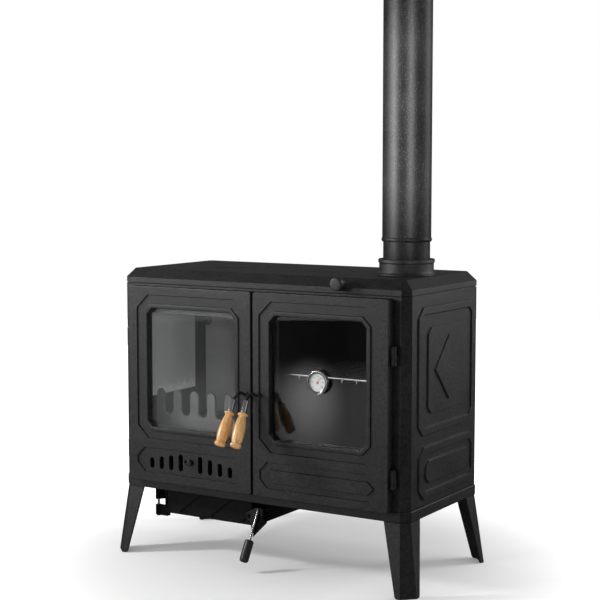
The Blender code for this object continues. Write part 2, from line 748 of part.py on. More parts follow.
def build_top_plate():
    inset = PLATE_BEVEL + PLATE_WALL * 0.75
    ceiling = PLATE_TOP - PLATE_WALL
    outline = [
        (BODY.grow(-inset), ceiling),
        (BODY.grow(-PLATE_WALL), PLATE_BOTTOM + PLATE_WALL),
        (BODY.grow(-PLATE_WALL), CASING_TOP + SEAT),
        (BODY.grow(-LIP_INSET), CASING_TOP + SEAT),
        (BODY.grow(-LIP_INSET), PLATE_BOTTOM),
        (BODY.grow(-CAST_EDGE / 2), PLATE_BOTTOM),
        (BODY, PLATE_BOTTOM + CAST_EDGE / 2),
        (BODY, PLATE_BOTTOM + PLATE_EDGE),
        (BODY.grow(-PLATE_BEVEL), PLATE_TOP),
    ]
    plate = steps("Z", [(shape.points(), level) for shape, level in outline])
    lap = hob_lap_level()
    for centre, radius in ((LEFT_HOB, HOB_RADII[0]), (RIGHT_HOB, HOB_RADII[1])):
        low = PLATE_TOP - HOB_THICK - HOB_RIM
        boss = cylinder("Z", centre, radius + HOB_BOSS_WALL, low, lap, FINE)
        seat = cylinder("Z", centre, radius + HOB_GAP, lap, PLATE_TOP + EMBED, FINE)
        hole = cylinder("Z", centre, radius - HOB_LAP, low - EMBED, PLATE_TOP, FINE)
        plate = subtract(union(plate, boss), seat, hole)
    flue_hole = cylinder("Z", FLUE_CENTRE, STUB_RADIUS - 0.002, ceiling - 0.01, PLATE_TOP + EMBED, FINE)
    rod_z = PLATE_TOP - DAMPER_ROD_DROP
    rod_hole = cylinder("Y", (DAMPER_X, rod_z), DAMPER_ROD_RADIUS + TURN, FRONT - 0.02, FRONT + 0.05)
    plate = union(subtract(plate, flue_hole, rod_hole), *damper_rails(ceiling))
    piece("top_plate", plate, IRON)


def blade_left():
    return DAMPER_X - 0.008


def blade_bottom():
    return PLATE_TOP - DAMPER_ROD_DROP - 0.0085


def damper_rails(ceiling):
    """Two L-shaped rails under the plate that carry the damper blade."""
    width, length, _ = DAMPER_BLADE
    left = blade_left() - SLIP
    right = blade_left() + width + SLIP
    bottom = blade_bottom() - SEAT
    reach = (DAMPER_BLADE_Y - DAMPER_TRAVEL, DAMPER_BLADE_Y + length)
    rails = []
    for edge, way in ((left, 1), (right, -1)):
        web = sorted((edge, edge - way * DAMPER_RAIL_WALL))
        foot = sorted((edge + way * DAMPER_RAIL_FOOT, edge - way * DAMPER_RAIL_WALL))
        upright = box(web, reach, (bottom - DAMPER_RAIL_WALL, ceiling + EMBED))
        rails.append(union(upright, box(foot, reach, (bottom - DAMPER_RAIL_WALL, bottom))))
    return rails


def hob_disc(centre, radius, next_radius=None):
    """Ring that laps its seat, with a lap for the next piece in; without one it is the centre lid."""
    lap = hob_lap_level()
    bottom = PLATE_TOP - HOB_THICK
    profile = [
        (radius - HOB_LAP - SLIP, bottom),
        (radius - HOB_LAP - SLIP, lap + SEAT),
        (radius, lap + SEAT),
        (radius, PLATE_TOP),
    ]
    if next_radius is None:
        lid = turned("Z", centre, profile, FINE)
        length, width, depth = LIFTER_SLOT
        x = centre[0] + radius * 0.45
        slot = box(span(x, width), span(centre[1], length), (PLATE_TOP - depth, PLATE_TOP + EMBED))
        return subtract(lid, slot)
    profile += [
        (next_radius + HOB_GAP, PLATE_TOP),
        (next_radius + HOB_GAP, lap),
        (next_radius - HOB_LAP, lap),
        (next_radius - HOB_LAP, bottom),
    ]
    return turned("Z", centre, profile, FINE, wrap=True)


def build_hobs():
    large, middle, small = HOB_RADII
    bottom = PLATE_TOP - HOB_THICK
    left = (*LEFT_HOB, bottom)
    right = (*RIGHT_HOB, bottom)
    piece("hob_ring_outer", hob_disc(LEFT_HOB, large, middle), HOT_IRON, left)
    piece("hob_ring_inner", hob_disc(LEFT_HOB, middle, small), HOT_IRON, left)
    piece("hob_lid_left", hob_disc(LEFT_HOB, small), HOT_IRON, left)
    piece("hob_ring_right", hob_disc(RIGHT_HOB, middle, small), HOT_IRON, right)
    piece("hob_lid_right", hob_disc(RIGHT_HOB, small), HOT_IRON, right)


# Flue and damper


def build_flue():
    foot = PLATE_TOP + SEAT
    rim = foot + COLLAR_HEIGHT
    bore = STUB_RADIUS + TURN
    ledge = foot + COLLAR_LEDGE
    collar = [
        (COLLAR_RADIUS + COLLAR_FLARE, foot),
        (COLLAR_RADIUS + COLLAR_FLARE, foot + 0.003),
        (COLLAR_RADIUS, foot + 0.009),
        (COLLAR_RADIUS, rim - 0.011),
        (COLLAR_RADIUS + COLLAR_RIM, rim - 0.008),
        (COLLAR_RADIUS + COLLAR_RIM, rim - 0.001),
        (COLLAR_RADIUS + COLLAR_RIM - 0.001, rim),
        (bore, rim),
        (bore, ledge),
        (STUB_RADIUS - 0.003, ledge),
        (STUB_RADIUS - 0.003, foot),
    ]
    piece("flue_collar", turned("Z", FLUE_CENTRE, collar, FINE, wrap=True), IRON)
    stub = [
        (STUB_RADIUS, ledge + SEAT),
        (STUB_RADIUS, STUB_TOP),
        (STUB_RADIUS - PIPE_WALL, STUB_TOP),
        (STUB_RADIUS - PIPE_WALL, ledge + SEAT),
    ]
    piece("flue_stub", turned("Z", FLUE_CENTRE, stub, FINE, wrap=True), PIPE_STEEL)
    outer = PIPE_RADIUS
    crown = PIPE_BOTTOM + PIPE_LENGTH
    crest = outer + BEAD_PROUD
    pipe = [
        (outer - 0.0003, PIPE_BOTTOM),
        (crest - 0.0006, PIPE_BOTTOM + BEAD_HEIGHT * 0.2),
        (crest, PIPE_BOTTOM + BEAD_HEIGHT * 0.5),
        (crest - 0.0006, PIPE_BOTTOM + BEAD_HEIGHT * 0.8),
        (outer, PIPE_BOTTOM + BEAD_HEIGHT),
        (outer, crown),
        (outer - PIPE_WALL, crown),
        (outer - PIPE_WALL, PIPE_BOTTOM),
    ]
    piece("flue_pipe", turned("Z", FLUE_CENTRE, pipe, FINE, wrap=True), PIPE_STEEL)


def build_damper():
    rod_z = PLATE_TOP - DAMPER_ROD_DROP
    knob_front = FRONT - DAMPER_KNOB_FRONT
    knob_back = knob_front + DAMPER_KNOB_LENGTH
    origin = (DAMPER_X, knob_front, rod_z)
    width, length, thick = DAMPER_BLADE
    left = blade_left()
    low = blade_bottom()
    y = (DAMPER_BLADE_Y, DAMPER_BLADE_Y + length)
    blade = box((left, left + width), y, (low, low + thick))
    clamp_y = (DAMPER_BLADE_Y + 0.004, DAMPER_BLADE_Y + 0.030)
    clamp = box(span(DAMPER_X, 0.012), clamp_y, (low + thick - EMBED / 2, rod_z + 0.0034))
    rod_end = clamp_y[1] - 0.004
    bore = cylinder(
        "Y", (DAMPER_X, rod_z), DAMPER_ROD_RADIUS + SEAT, clamp_y[0] - EMBED, rod_end + SEAT
    )
    piece("damper_blade", subtract(union(blade, clamp), bore), BLACK_STEEL, origin)
    bar = cylinder("Y", (DAMPER_X, rod_z), DAMPER_ROD_RADIUS, knob_back - 0.006, rod_end, SMALL)
    piece("damper_rod", bar, STEEL, origin)
    r = DAMPER_KNOB_RADIUS
    profile = [
        (r - 0.0025, knob_front),
        (r, knob_front + 0.0025),
        (r, knob_back - 0.003),
        (r - 0.003, knob_back),
        (DAMPER_ROD_RADIUS + SEAT, knob_back),
        (DAMPER_ROD_RADIUS + SEAT, knob_back - 0.006 - SEAT),
    ]
    piece("damper_knob", turned("Y", (DAMPER_X, rod_z), profile, ROUND), BAKELITE, origin)


# Doors


def door_outline(inset, lift=0.0):
    """Outline of the door, moved inwards, for the oven side; lift moves only its lower edge."""
    corner = max(DOOR_CORNER - inset, 0.0008)
    return rounded(
        DOOR_LATCH_EDGE + inset,
        DOOR_HINGE_EDGE - inset,
        DOOR_LOW + inset + lift,
        DOOR_HIGH - inset,
        corner,
    )


def seal_outline(inset):
    """Outline of the seal, which passes above the base plate."""
    return door_outline(inset, DOOR_LAP)


def door_tray(side):
    """Front plate with its rim wall, open at the back."""
    levels = [
        (door_outline(DOOR_EDGE), DOOR_FACE),
        (door_outline(DOOR_EDGE * 0.3), DOOR_FACE + DOOR_EDGE * 0.3),
        (door_outline(0), DOOR_FACE + DOOR_EDGE),
        (door_outline(0), RIM_BACK),
        (seal_outline(DOOR_RIM_WALL), RIM_BACK),
        (seal_outline(DOOR_RIM_WALL), PLATE_BACK),
    ]
    return steps("Y", [(mirrored(side, outline), level) for outline, level in levels])


def window_bead(side):
    """Bead round the window whose inside goes back to the glass."""
    floor = DOOR_FACE + FIELD_DEPTH
    back = GLASS_FRONT - SEAT
    boss = PANE.grow(GLASS_LAP + EMBED)
    levels = [
        (BEAD, floor + EMBED),
        (BEAD, floor - EMBED / 2),
        (BEAD.grow(-0.0012), DOOR_FACE + 0.0006),
        (BEAD.grow(-0.0032), DOOR_FACE),
        (WINDOW.grow(0.0030), DOOR_FACE),
        (WINDOW.grow(0.0010), DOOR_FACE + 0.0008),
        (WINDOW, DOOR_FACE + 0.0030),
        (WINDOW, back),
        (boss, back),
        (boss, floor + EMBED),
    ]
    return hoop("Y", [(shape.points(side), level) for shape, level in levels])


def door_knuckle(side, height):
    centre = (side * HINGE_U, HINGE_Y)
    barrel = cylinder("Z", centre, HINGE_KNUCKLE, height, height + DOOR_KNUCKLE, ROUND)
    inside = DOOR_HINGE_EDGE - DOOR_EDGE
    ear = box(
        sorted((side * inside, side * HINGE_U)),
        span(HINGE_Y, HINGE_KNUCKLE * 1.6),
        (height, height + DOOR_KNUCKLE),
    )
    return union(barrel, ear)


def door_casting(side):
    """What both doors share: tray, fields, bead, hinges, seal groove and handle boss."""
    door = subtract(
        door_tray(side),
        sunken("Y", FIELD, side, DOOR_FACE, FIELD_DEPTH),
        prism("Y", WINDOW.grow(0.004).points(side), DOOR_FACE - EMBED, PLATE_BACK + EMBED),
    )
    radius, proud = HANDLE_BOSS
    pivot = (side * HANDLE_U, HANDLE_Z)
    boss = cylinder("Y", pivot, radius, DOOR_FACE - proud, DOOR_FACE + 0.004, ROUND)
    knuckles = [door_knuckle(side, height) for height in HINGE_HEIGHTS]
    door = union(door, window_bead(side), boss, *knuckles)
    near = SEAL_INSET - SEAL_WIDTH / 2 - SEAT
    far = SEAL_INSET + SEAL_WIDTH / 2 + SEAT
    deep = RIM_BACK - SEAL_GROOVE
    walls = [(near, RIM_BACK + EMBED), (near, deep), (far, deep), (far, RIM_BACK + EMBED)]
    groove = hoop("Y", [(mirrored(side, seal_outline(inset)), level) for inset, level in walls])
    shaft_hole = cylinder("Y", pivot, HANDLE_ROD + TURN, DOOR_FACE - 0.01, PLATE_BACK + EMBED)
    pocket = box(
        sorted((side * (HANDLE_U - 0.010), side * (HANDLE_U + 0.001))),
        (PLATE_BACK, RIM_BACK - SEAL_GROOVE - 0.0025),
        span(HANDLE_Z, 0.019),
    )
    bores = [
        cylinder(
            "Z",
            (side * HINGE_U, HINGE_Y),
            HINGE_PIN + TURN,
            height - EMBED,
            height + DOOR_KNUCKLE + EMBED,
        )
        for height in HINGE_HEIGHTS
    ]
    return subtract(door, groove, shaft_hole, pocket, *bores)


def slot_outline(centre, width, low, height, count=4):
    """Upright slot with round ends."""
    radius = width / 2
    outline = []
    for middle, start in ((low + height - radius, 0), (low + radius, 180)):
        for i in range(count + 1):
            turn = math.radians(start + 180 * i / count)
            outline.append((centre + radius * math.cos(turn), middle + radius * math.sin(turn)))
    return outline


def air_slots(low_y, high_y):
    cutters = []
    for step, height in enumerate(SLOT_HEIGHTS, start=1):
        for way in (-1, 1):
            centre = -SLOT_CENTRE + way * step * SLOT_PITCH
            cutters.append(prism("Y", slot_outline(centre, SLOT_WIDTH, SLOT_BOTTOM, height), low_y, high_y))
    return cutters


def slide_limits():
    """Ends and edges of the air slide: it covers every slot, and its lips hold both edges."""
    reach = (len(SLOT_HEIGHTS)) * SLOT_PITCH + SLOT_WIDTH / 2
    left = -SLOT_CENTRE - reach - 0.004
    right = -SLOT_CENTRE + reach + SLIDE_TRAVEL - 0.003
    return left, right, SLOT_BOTTOM - SLIDE_MARGIN, SLOT_BOTTOM + max(SLOT_HEIGHTS) + SLIDE_MARGIN


def slide_rails():
    left, right, low, high = slide_limits()
    back = PLATE_BACK + SEAT + SLIDE_THICK + SEAT
    ends = (left - SLIDE_TRAVEL, right)
    lip_y = (back, back + 0.0018)
    foot = 0.0035
    rails = []
    for edge, way in ((low - SEAT, 1), (high + SEAT, -1)):
        bar = box(ends, (PLATE_BACK - EMBED, lip_y[1]), sorted((edge, edge - way * foot)))
        lip = box(ends, lip_y, sorted((edge - way * foot / 2, edge + way * SLIDE_LIP)))
        rails.append(union(bar, lip))
    return rails


def build_firebox_door():
    door = door_casting(FIREBOX)
    knob_slot_left = -SLOT_CENTRE - SLIDE_TRAVEL - SLIDE_STEM - SLIP
    knob_slot_right = -SLOT_CENTRE + SLIDE_STEM + SLIP
    middle = SLOT_BOTTOM + max(SLOT_HEIGHTS) * 0.6
    half = SLIDE_STEM + SLIP
    knob_slot = box(
        (knob_slot_left, knob_slot_right), (DOOR_FACE - EMBED, PLATE_BACK + EMBED), (middle - half, middle + half)
    )
    door = subtract(
        door,
        sunken("Y", AIR_BAND, FIREBOX, DOOR_FACE, FIELD_DEPTH),
        knob_slot,
        *air_slots(DOOR_FACE - EMBED, PLATE_BACK + EMBED),
    )
    door = union(door, *slide_rails())
    piece("firebox_door", door, IRON, (-HINGE_U, HINGE_Y, HINGE_HEIGHTS[0]))


def build_air_slide():
    left, right, low, high = slide_limits()
    y = (PLATE_BACK + SEAT, PLATE_BACK + SEAT + SLIDE_THICK)
    middle = SLOT_BOTTOM + max(SLOT_HEIGHTS) * 0.6
    origin = (-SLOT_CENTRE, y[0], middle)
    plate = subtract(box((left, right), y, (low, high)), *air_slots(y[0] - EMBED, y[1] + EMBED))
    piece("air_slide", plate, BLACK_STEEL, origin)
    radius, length = SLIDE_KNOB
    face = DOOR_FACE + FIELD_DEPTH - SLIP
    profile = [
        (radius - 0.0015, face - length),
        (radius, face - length + 0.0015),
        (radius, face),
        (SLIDE_STEM, face),
        (SLIDE_STEM, y[0] - SEAT),
    ]
    piece("air_slide_knob", turned("Y", (-SLOT_CENTRE, middle), profile, SMALL), BLACK_STEEL, origin)


def build_oven_door():
    island_depth = FIELD_DEPTH
    door = subtract(door_casting(OVEN), sunken("Y", OVEN_BAND, OVEN, DOOR_FACE, FIELD_DEPTH))
    island = raised("Y", OVEN_BAND_ISLAND, OVEN, DOOR_FACE + FIELD_DEPTH, -island_depth)
    piece("oven_door", union(door, island), IRON, (HINGE_U, HINGE_Y, HINGE_HEIGHTS[0]))


def build_glazing(side, name):
    """Glass, its retainer and the rope seal of one door."""
    hinge = (side * HINGE_U, HINGE_Y, HINGE_HEIGHTS[0])
    pane = prism("Y", PANE.grow(GLASS_LAP).points(side), GLASS_FRONT, GLASS_BACK)
    if side == OVEN:
        hole = cylinder(
            "Y", dial_centre(), DIAL_STEM_HOLE, GLASS_FRONT - EMBED, GLASS_BACK + EMBED, SMALL
        )
        pane = subtract(pane, hole)
    piece(f"{name}_glass", pane, GLASS, hinge)
    inner = WINDOW.grow(-0.002)
    over = PANE.grow(GLASS_LAP + EMBED + SEAT)
    outer = PANE.grow(GLASS_LAP + EMBED + SEAT + RETAINER_WALL)
    back = RETAINER_FRONT + RETAINER_THICK
    levels = [
        (inner, back),
        (outer, back),
        (outer, PLATE_BACK + SEAT),
        (over, PLATE_BACK + SEAT),
        (over, RETAINER_FRONT),
        (inner, RETAINER_FRONT),
    ]
    retainer = hoop("Y", [(shape.points(side), level) for shape, level in levels])
    piece(f"{name}_glass_retainer", retainer, BLACK_STEEL, hinge)
    near = SEAL_INSET - SEAL_WIDTH / 2
    far = SEAL_INSET + SEAL_WIDTH / 2
    deep = RIM_BACK - SEAL_GROOVE + SEAT
    face = FRONT - SEAT
    rope = [(near, face), (near, deep), (far, deep), (far, face)]
    seal = hoop("Y", [(mirrored(side, seal_outline(inset)), level) for inset, level in rope])
    piece(f"{name}_door_seal", seal, ROPE, hinge)


def build_hinge_pins(side, name):
    radius, thick = HINGE_HEAD
    centre = (side * HINGE_U, HINGE_Y)
    for height, place in zip(HINGE_HEIGHTS, ("lower", "upper")):
        head = height + DOOR_KNUCKLE + SEAT
        profile = [
            (HINGE_PIN, height - FRAME_KNUCKLE + 0.001),
            (HINGE_PIN, head),
            (radius, head),
            (radius, head + thick * 0.6),
            (radius * 0.6, head + thick),
        ]
        pin = turned("Z", centre, profile, SMALL)
        piece(f"{name}_hinge_pin_{place}", pin, STEEL, (*centre, height))


def handle_line():
    """Top of the ferrule and the direction in which the grip hangs, from the handle's pivot."""
    start = Vector((0, -0.0505, -0.0055))
    down = Vector((0, -math.sin(HANDLE_TILT), -math.cos(HANDLE_TILT)))
    return start, down


def grip_profile():
    """(radius, share of the length) of the turned wooden grip."""
    return [
        (0.0092, 0.0),
        (0.0116, 0.012),
        (0.0122, 0.036),
        (0.0113, 0.061),
        (0.0090, 0.075),
        (0.0090, 0.094),
        (0.0113, 0.21),
        (0.0136, 0.36),
        (0.0146, 0.51),
        (0.0144, 0.64),
        (0.0132, 0.77),
        (0.0117, 0.855),
        (0.0114, 0.88),
        (0.0131, 0.90),
        (0.0138, 0.933),
        (0.0130, 0.974),
        (0.0095, 1.0),
    ]


def build_handle(side, name):
    """Arm, ferrule and grip, which hang a little out of plumb."""
    origin = Vector((side * HANDLE_U, DOOR_FACE, HANDLE_Z))
    hang = Matrix.Translation(origin) @ Matrix.Rotation(-side * HANDLE_SWING[side], 4, "Y")
    start, down = handle_line()
    arc = [
        (hook_levels()[1] + 0.002 - DOOR_FACE, 0.0),
        (-0.0040, 0.0),
        (-0.0080, 0.0010),
        (-0.0130, 0.0026),
        (-0.0200, 0.0040),
        (-0.0290, 0.0030),
        (-0.0380, 0.0004),
        (-0.0450, -0.0028),
    ]
    points = [Vector((0, y, z)) for y, z in arc]
    points += [start - down * 0.0015, start + down * (FERRULE_BORE_DEPTH - 0.001)]
    arm = rod(points, HANDLE_ROD, 10)
    bore = HANDLE_ROD + TURN
    tube = [
        (FERRULE_RADIUS, FERRULE_LENGTH),
        (FERRULE_RADIUS, 0.0008),
        (FERRULE_RADIUS - 0.0008, 0),
        (bore, 0),
        (bore, FERRULE_BORE_DEPTH),
    ]
    ferrule = aimed(turned("Z", (0, 0), tube, 16), start, down)
    top = start + down * (FERRULE_LENGTH + SEAT)
    profile = [(radius, GRIP_LENGTH * share) for radius, share in grip_profile()]
    grip = aimed(turned("Z", (0, 0), profile, ROUND), top, down)
    for part, mesh, finish in (("arm", arm, BLACK_STEEL), ("ferrule", ferrule, STEEL), ("grip", grip, WOOD)):
        mesh.transform(hang)
        piece(f"{name}_handle_{part}", mesh, finish, origin)


def hook_levels():
    """Front and back of the latch hook, between the door plate and the frame."""
    front = PLATE_BACK + 0.003
    return front, front + HOOK_THICK


def build_latch_hook(side, name):
    """Hook that hangs beside the frame's peg and swings inwards, away from the rim wall."""
    clear = 0.001
    inner = HOOK_PEG + clear
    low = -HOOK_REACH - HOOK_PEG - clear
    outline = [
        (-0.0060, 0.0035),
        (-0.0035, 0.0060),
        (0.0035, 0.0060),
        (0.0070, 0.0030),
        (inner + 0.005, -0.0060),
        (inner + 0.005, low - 0.0035),
        (-HOOK_PEG * 0.8, low - 0.0035),
        (-HOOK_PEG * 0.8, low),
        (inner, low),
        (inner, -0.0075),
        (-0.0035, -0.0075),
        (-0.0060, -0.0040),
    ]
    placed = [(side * (HANDLE_U + u), HANDLE_Z + v) for u, v in outline]
    front, back = hook_levels()
    plate = prism("Y", placed, front, back)
    hole = cylinder("Y", (side * HANDLE_U, HANDLE_Z), HANDLE_ROD + SEAT, front - EMBED, back + EMBED)
    origin = (side * HANDLE_U, DOOR_FACE, HANDLE_Z)
    piece(f"{name}_latch_hook", subtract(plate, hole), BLACK_STEEL, origin)


# Thermometer


def dial_centre():
    return (OVEN_CENTRE, DIAL_Z)


def build_thermometer():
    centre = dial_centre()
    back = GLASS_FRONT - SEAT
    front = back - CASE_DEPTH
    hinge = (HINGE_U, HINGE_Y, HINGE_HEIGHTS[0])
    floor = back - 0.0065
    nut_front = GLASS_BACK + SEAT
    profile = [
        (DIAL_RADIUS + SEAT, floor),
        (DIAL_RADIUS + SEAT, front + 0.0022),
        (DIAL_RADIUS + 0.0012, front),
        (BEZEL_RADIUS - 0.0012, front),
        (BEZEL_RADIUS, front + 0.0015),
        (BEZEL_RADIUS, front + 0.0050),
        (BEZEL_RADIUS - 0.0016, front + 0.0062),
        (BEZEL_RADIUS - 0.0022, back),
        (DIAL_STEM, back),
        (DIAL_STEM, nut_front),
        (0.0085, nut_front),
        (0.0085, nut_front + 0.004),
        (DIAL_STEM, nut_front + 0.004),
        (DIAL_STEM, nut_front + 0.012),
    ]
    piece("thermometer_case", turned("Y", centre, profile, 18), STEEL, hinge)
    dial_back = floor - SEAT
    dial_front = dial_back - DIAL_THICK
    dial = cylinder("Y", centre, DIAL_RADIUS, dial_front, dial_back, 18)
    piece("thermometer_dial", dial, DIAL_WHITE, hinge)
    needle_y = (dial_front - SEAT - 0.0008, dial_front - SEAT)
    hub = cylinder("Y", (0, 0), 0.0026, *needle_y)
    pointer = [(-0.0012, -0.007), (0.0012, -0.007), (0.0003, NEEDLE_LENGTH), (-0.0003, NEEDLE_LENGTH)]
    needle = union(prism("Y", pointer, *needle_y), hub)
    x, z = centre
    needle.transform(Matrix.Translation((x, 0, z)) @ Matrix.Rotation(NEEDLE_TURN, 4, "Y"))
    piece("thermometer_needle", needle, NEEDLE_RED, (x, needle_y[1], z))


# Oven


def build_oven():
    left, right, low, high = oven_opening()
    front = FRONT + CASING_WALL + SEAT
    sheet = OVEN_SHEET
    flange = OVEN_FLANGE
    inner = rounded(left, right, low, high, 0.004)
    outer = rounded(left - sheet, right + sheet, low - sheet, high + sheet, 0.004 + sheet)
    rim = rounded(left - flange, right + flange, low - flange, high + flange, 0.004 + flange)
    levels = [
        (outer, OVEN_BACK + sheet),
        (outer, front + sheet),
        (rim, front + sheet),
        (rim, front),
        (inner, front),
        (inner, OVEN_BACK),
    ]
    liner = steps("Y", levels)
    width, height = RUNNER
    runner_top = RACK_Z - RACK_WIRE - SEAT
    z = (runner_top - height, runner_top)
    y = (RACK_FRONT - 0.006, RACK_FRONT + RACK_DEPTH)
    left_runner = box((left - EMBED, left + width), y, z)
    right_runner = box((right - width, right + EMBED), y, z)
    piece("oven_liner", union(liner, left_runner, right_runner), SHEET)


def build_oven_rack():
    half = OVEN_WIDTH / 2 - RACK_SIDE_GAP
    back = RACK_FRONT + RACK_DEPTH - 0.012
    left, right = OVEN_CENTRE - half, OVEN_CENTRE + half
    front_rail = rod([(left, RACK_FRONT, RACK_Z), (right, RACK_FRONT, RACK_Z)], RACK_WIRE)
    rails = [rod([(left, back, RACK_Z), (right, back, RACK_Z)], RACK_WIRE)]
    for x in (left + RACK_WIRE, right - RACK_WIRE):
        rails.append(rod([(x, RACK_FRONT, RACK_Z), (x, back, RACK_Z)], RACK_WIRE * 0.96))
    bar_z = RACK_Z - RACK_WIRE - RACK_BAR * 0.4
    count = int(half / RACK_PITCH)
    for step in range(-count, count + 1):
        x = OVEN_CENTRE + step * RACK_PITCH
        path = [(x, RACK_FRONT - 0.001, bar_z - 0.006), (x, RACK_FRONT - 0.001, bar_z), (x, back, bar_z)]
        rails.append(rod(path, RACK_BAR, 6))
    piece("oven_rack", union(front_rail, *rails), STEEL)


# Firebox


def build_partition():
    x = span(PARTITION_X, PARTITION_THICK)
    reach = DEPTH / 2 - CASING_WALL - SLIP
    plate = box(x, (-reach, reach), (LEG_HEIGHT + BASE_FLOOR + SEAT, PARTITION_TOP))
    width, height = LEDGE
    ledge = box((x[0] - width, x[0] + EMBED), (GRATE_FRONT + 0.01, GRATE_BACK - 0.01), under(GRATE_TOP - GRATE_THICK, height))
    piece("firebox_partition", union(plate, ledge), IRON)


def firebox_left():
    """Inner face of the firebox side panel."""
    return -SIDE + CAST_EDGE + CASING_WALL


def build_grate():
    left = firebox_left() + 0.004
    right = PARTITION_X - PARTITION_THICK / 2 - 0.002
    plate = box((left, right), (GRATE_FRONT, GRATE_BACK), (GRATE_TOP - GRATE_THICK, GRATE_TOP))
    middle = (left + right) / 2
    length = GRATE_BACK - GRATE_FRONT - 2 * GRATE_MARGIN
    count = int((right - left - 0.08) / 2 / GRATE_PITCH)
    slots = []
    for step in range(-count, count + 1):
        x = span(middle + step * GRATE_PITCH, GRATE_SLOT)
        y = span((GRATE_FRONT + GRATE_BACK) / 2, length)
        slots.append(box(x, y, (GRATE_TOP - GRATE_THICK - EMBED, GRATE_TOP + EMBED)))
    piece("firebox_grate", subtract(plate, *slots), IRON)


def guard_outline():
    """Comb of round-topped fingers with round gaps between them."""
    bottom = GRATE_TOP + SEAT
    gap = GUARD_PITCH - GUARD_FINGER
    first = -SLOT_CENTRE - GUARD_PITCH * (GUARD_FINGERS - 1) / 2
    outline = []
    for index in range(GUARD_FINGERS):
        centre = first + index * GUARD_PITCH
        for i in range(7):
            turn = math.radians(180 - 30 * i)
            u = centre + GUARD_FINGER / 2 * math.cos(turn)
            outline.append((u, GUARD_TOP - GUARD_FINGER / 2 + GUARD_FINGER / 2 * math.sin(turn)))
        if index == GUARD_FINGERS - 1:
            continue
        for i in range(1, 6):
            turn = math.radians(180 + 36 * (i - 0.5))
            u = centre + GUARD_PITCH / 2 + gap / 2 * math.cos(turn)
            outline.append((u, GUARD_BAR_TOP + gap / 2 + gap / 2 * math.sin(turn)))
    last = first + GUARD_PITCH * (GUARD_FINGERS - 1) + GUARD_FINGER / 2
    return outline + [(last, bottom), (first - GUARD_FINGER / 2, bottom)]


def build_guard():
    comb = prism("Y", guard_outline(), GUARD_Y, GUARD_Y + GUARD_THICK)
    ends = guard_outline()[-2:]
    foot_y = (GUARD_Y + EMBED, GUARD_Y + GUARD_THICK + 0.022)
    foot_z = (GRATE_TOP + SEAT, GRATE_TOP + SEAT + 0.006)
    foot = box((ends[1][0] + 0.004, ends[0][0] - 0.004), foot_y, foot_z)
    piece("fire_guard", union(comb, foot), IRON)


def build_liners():
    panel = firebox_left()
    x = (panel + 0.002, panel + 0.002 + LINER_THICK)
    front, back = LINER_REACH
    left = box(x, LINER_REACH, (LINER_LOW, LINER_TOP))
    bolts = [
        cylinder("X", (y, z), 0.006, x[1] - EMBED, x[1] + 0.003, 8)
        for y in (front + 0.035, back - 0.012)
        for z in (LINER_LOW + 0.015, LINER_TOP - 0.022)
    ]
    piece("firebox_liner_left", union(left, *bolts), LINING)
    right = PARTITION_X - PARTITION_THICK / 2 - SEAT
    y = (REAR_LINER_Y, REAR_LINER_Y + LINER_THICK)
    rear = box((x[1] + 0.002, right), y, (GRATE_TOP + SEAT, LINER_TOP))
    bolt_x = (x[1] + 0.013, right - 0.026)
    heads = [
        cylinder("Y", (u, z), 0.0075, y[0] - 0.003, y[0] + EMBED, 8)
        for u in bolt_x
        for z in (GRATE_TOP + 0.075, LINER_TOP - 0.114)
    ]
    piece("firebox_liner_rear", union(rear, *heads), LINING)


# Ash box


def build_ash_box():
    top = LEG_HEIGHT - SEAT
    shell = box((ASH_LEFT, ASH_RIGHT), (ASH_FRONT - EMBED, ASH_BACK), (ASH_BOTTOM, top))
    flange_y = (ASH_FRONT - ASH_FLANGE, ASH_FRONT)
    flange = box((ASH_LEFT - 0.006, ASH_RIGHT + 0.0025), flange_y, (ASH_BOTTOM, top))
    inside = (ASH_LEFT + ASH_WALL, ASH_RIGHT - ASH_WALL)
    floor = ASH_BOTTOM + ASH_WALL
    hollow = box(inside, (ASH_FRONT, ASH_BACK - ASH_WALL), (floor, top + EMBED))
    mouth_x = (ASH_DOOR[0] + 0.004, ASH_DOOR[1] - 0.008)
    mouth_z = (floor, ASH_DOOR[3] - 0.006)
    mouth = box(mouth_x, (flange_y[0] - EMBED, ASH_FRONT + EMBED), mouth_z)
    case = subtract(union(shell, flange), hollow, mouth)
    pin = (ASH_PIN_X, ASH_PIN_Y)
    low, high = ASH_LUG_MIDDLE
    barrel = cylinder("Z", pin, ASH_LUG, low, high, 16)
    corner = ASH_LEFT - 0.006
    arm_plan = [
        (ASH_PIN_X - ASH_LUG * 0.7, ASH_PIN_Y + ASH_LUG * 0.6),
        (ASH_PIN_X + ASH_LUG * 0.3, ASH_PIN_Y - ASH_LUG * 0.9),
        (corner + 0.010, flange_y[0] + EMBED),
        (corner + 0.001, ASH_FRONT - EMBED),
    ]
    pegx = LEVER_PIVOT[0] + LEVER_PEG[0]
    peg_z = LEVER_PIVOT[1]
    peg = cylinder("Y", (pegx, peg_z), LEVER_PEG[1], lever_levels()[0], ASH_FRONT - EMBED)
    lug = box((ASH_RIGHT - EMBED, pegx + 0.007), (flange_y[0] + EMBED, ASH_FRONT), (peg_z - 0.008, peg_z + 0.016))
    case = union(case, prism("Z", arm_plan, low, high), barrel, lug, peg)
    bore = cylinder("Z", pin, HINGE_PIN + TURN, low - EMBED, high + EMBED)
    piece("ash_box", subtract(case, bore), IRON)


def ash_door_levels():
    """Front and back planes of the ash door."""
    back = ASH_FRONT - ASH_FLANGE - SEAT
    return back - ASH_DOOR_DEPTH, back


def lever_levels():
    front = ash_door_levels()[0] - SEAT - LEVER_THICK
    return front, front + LEVER_THICK


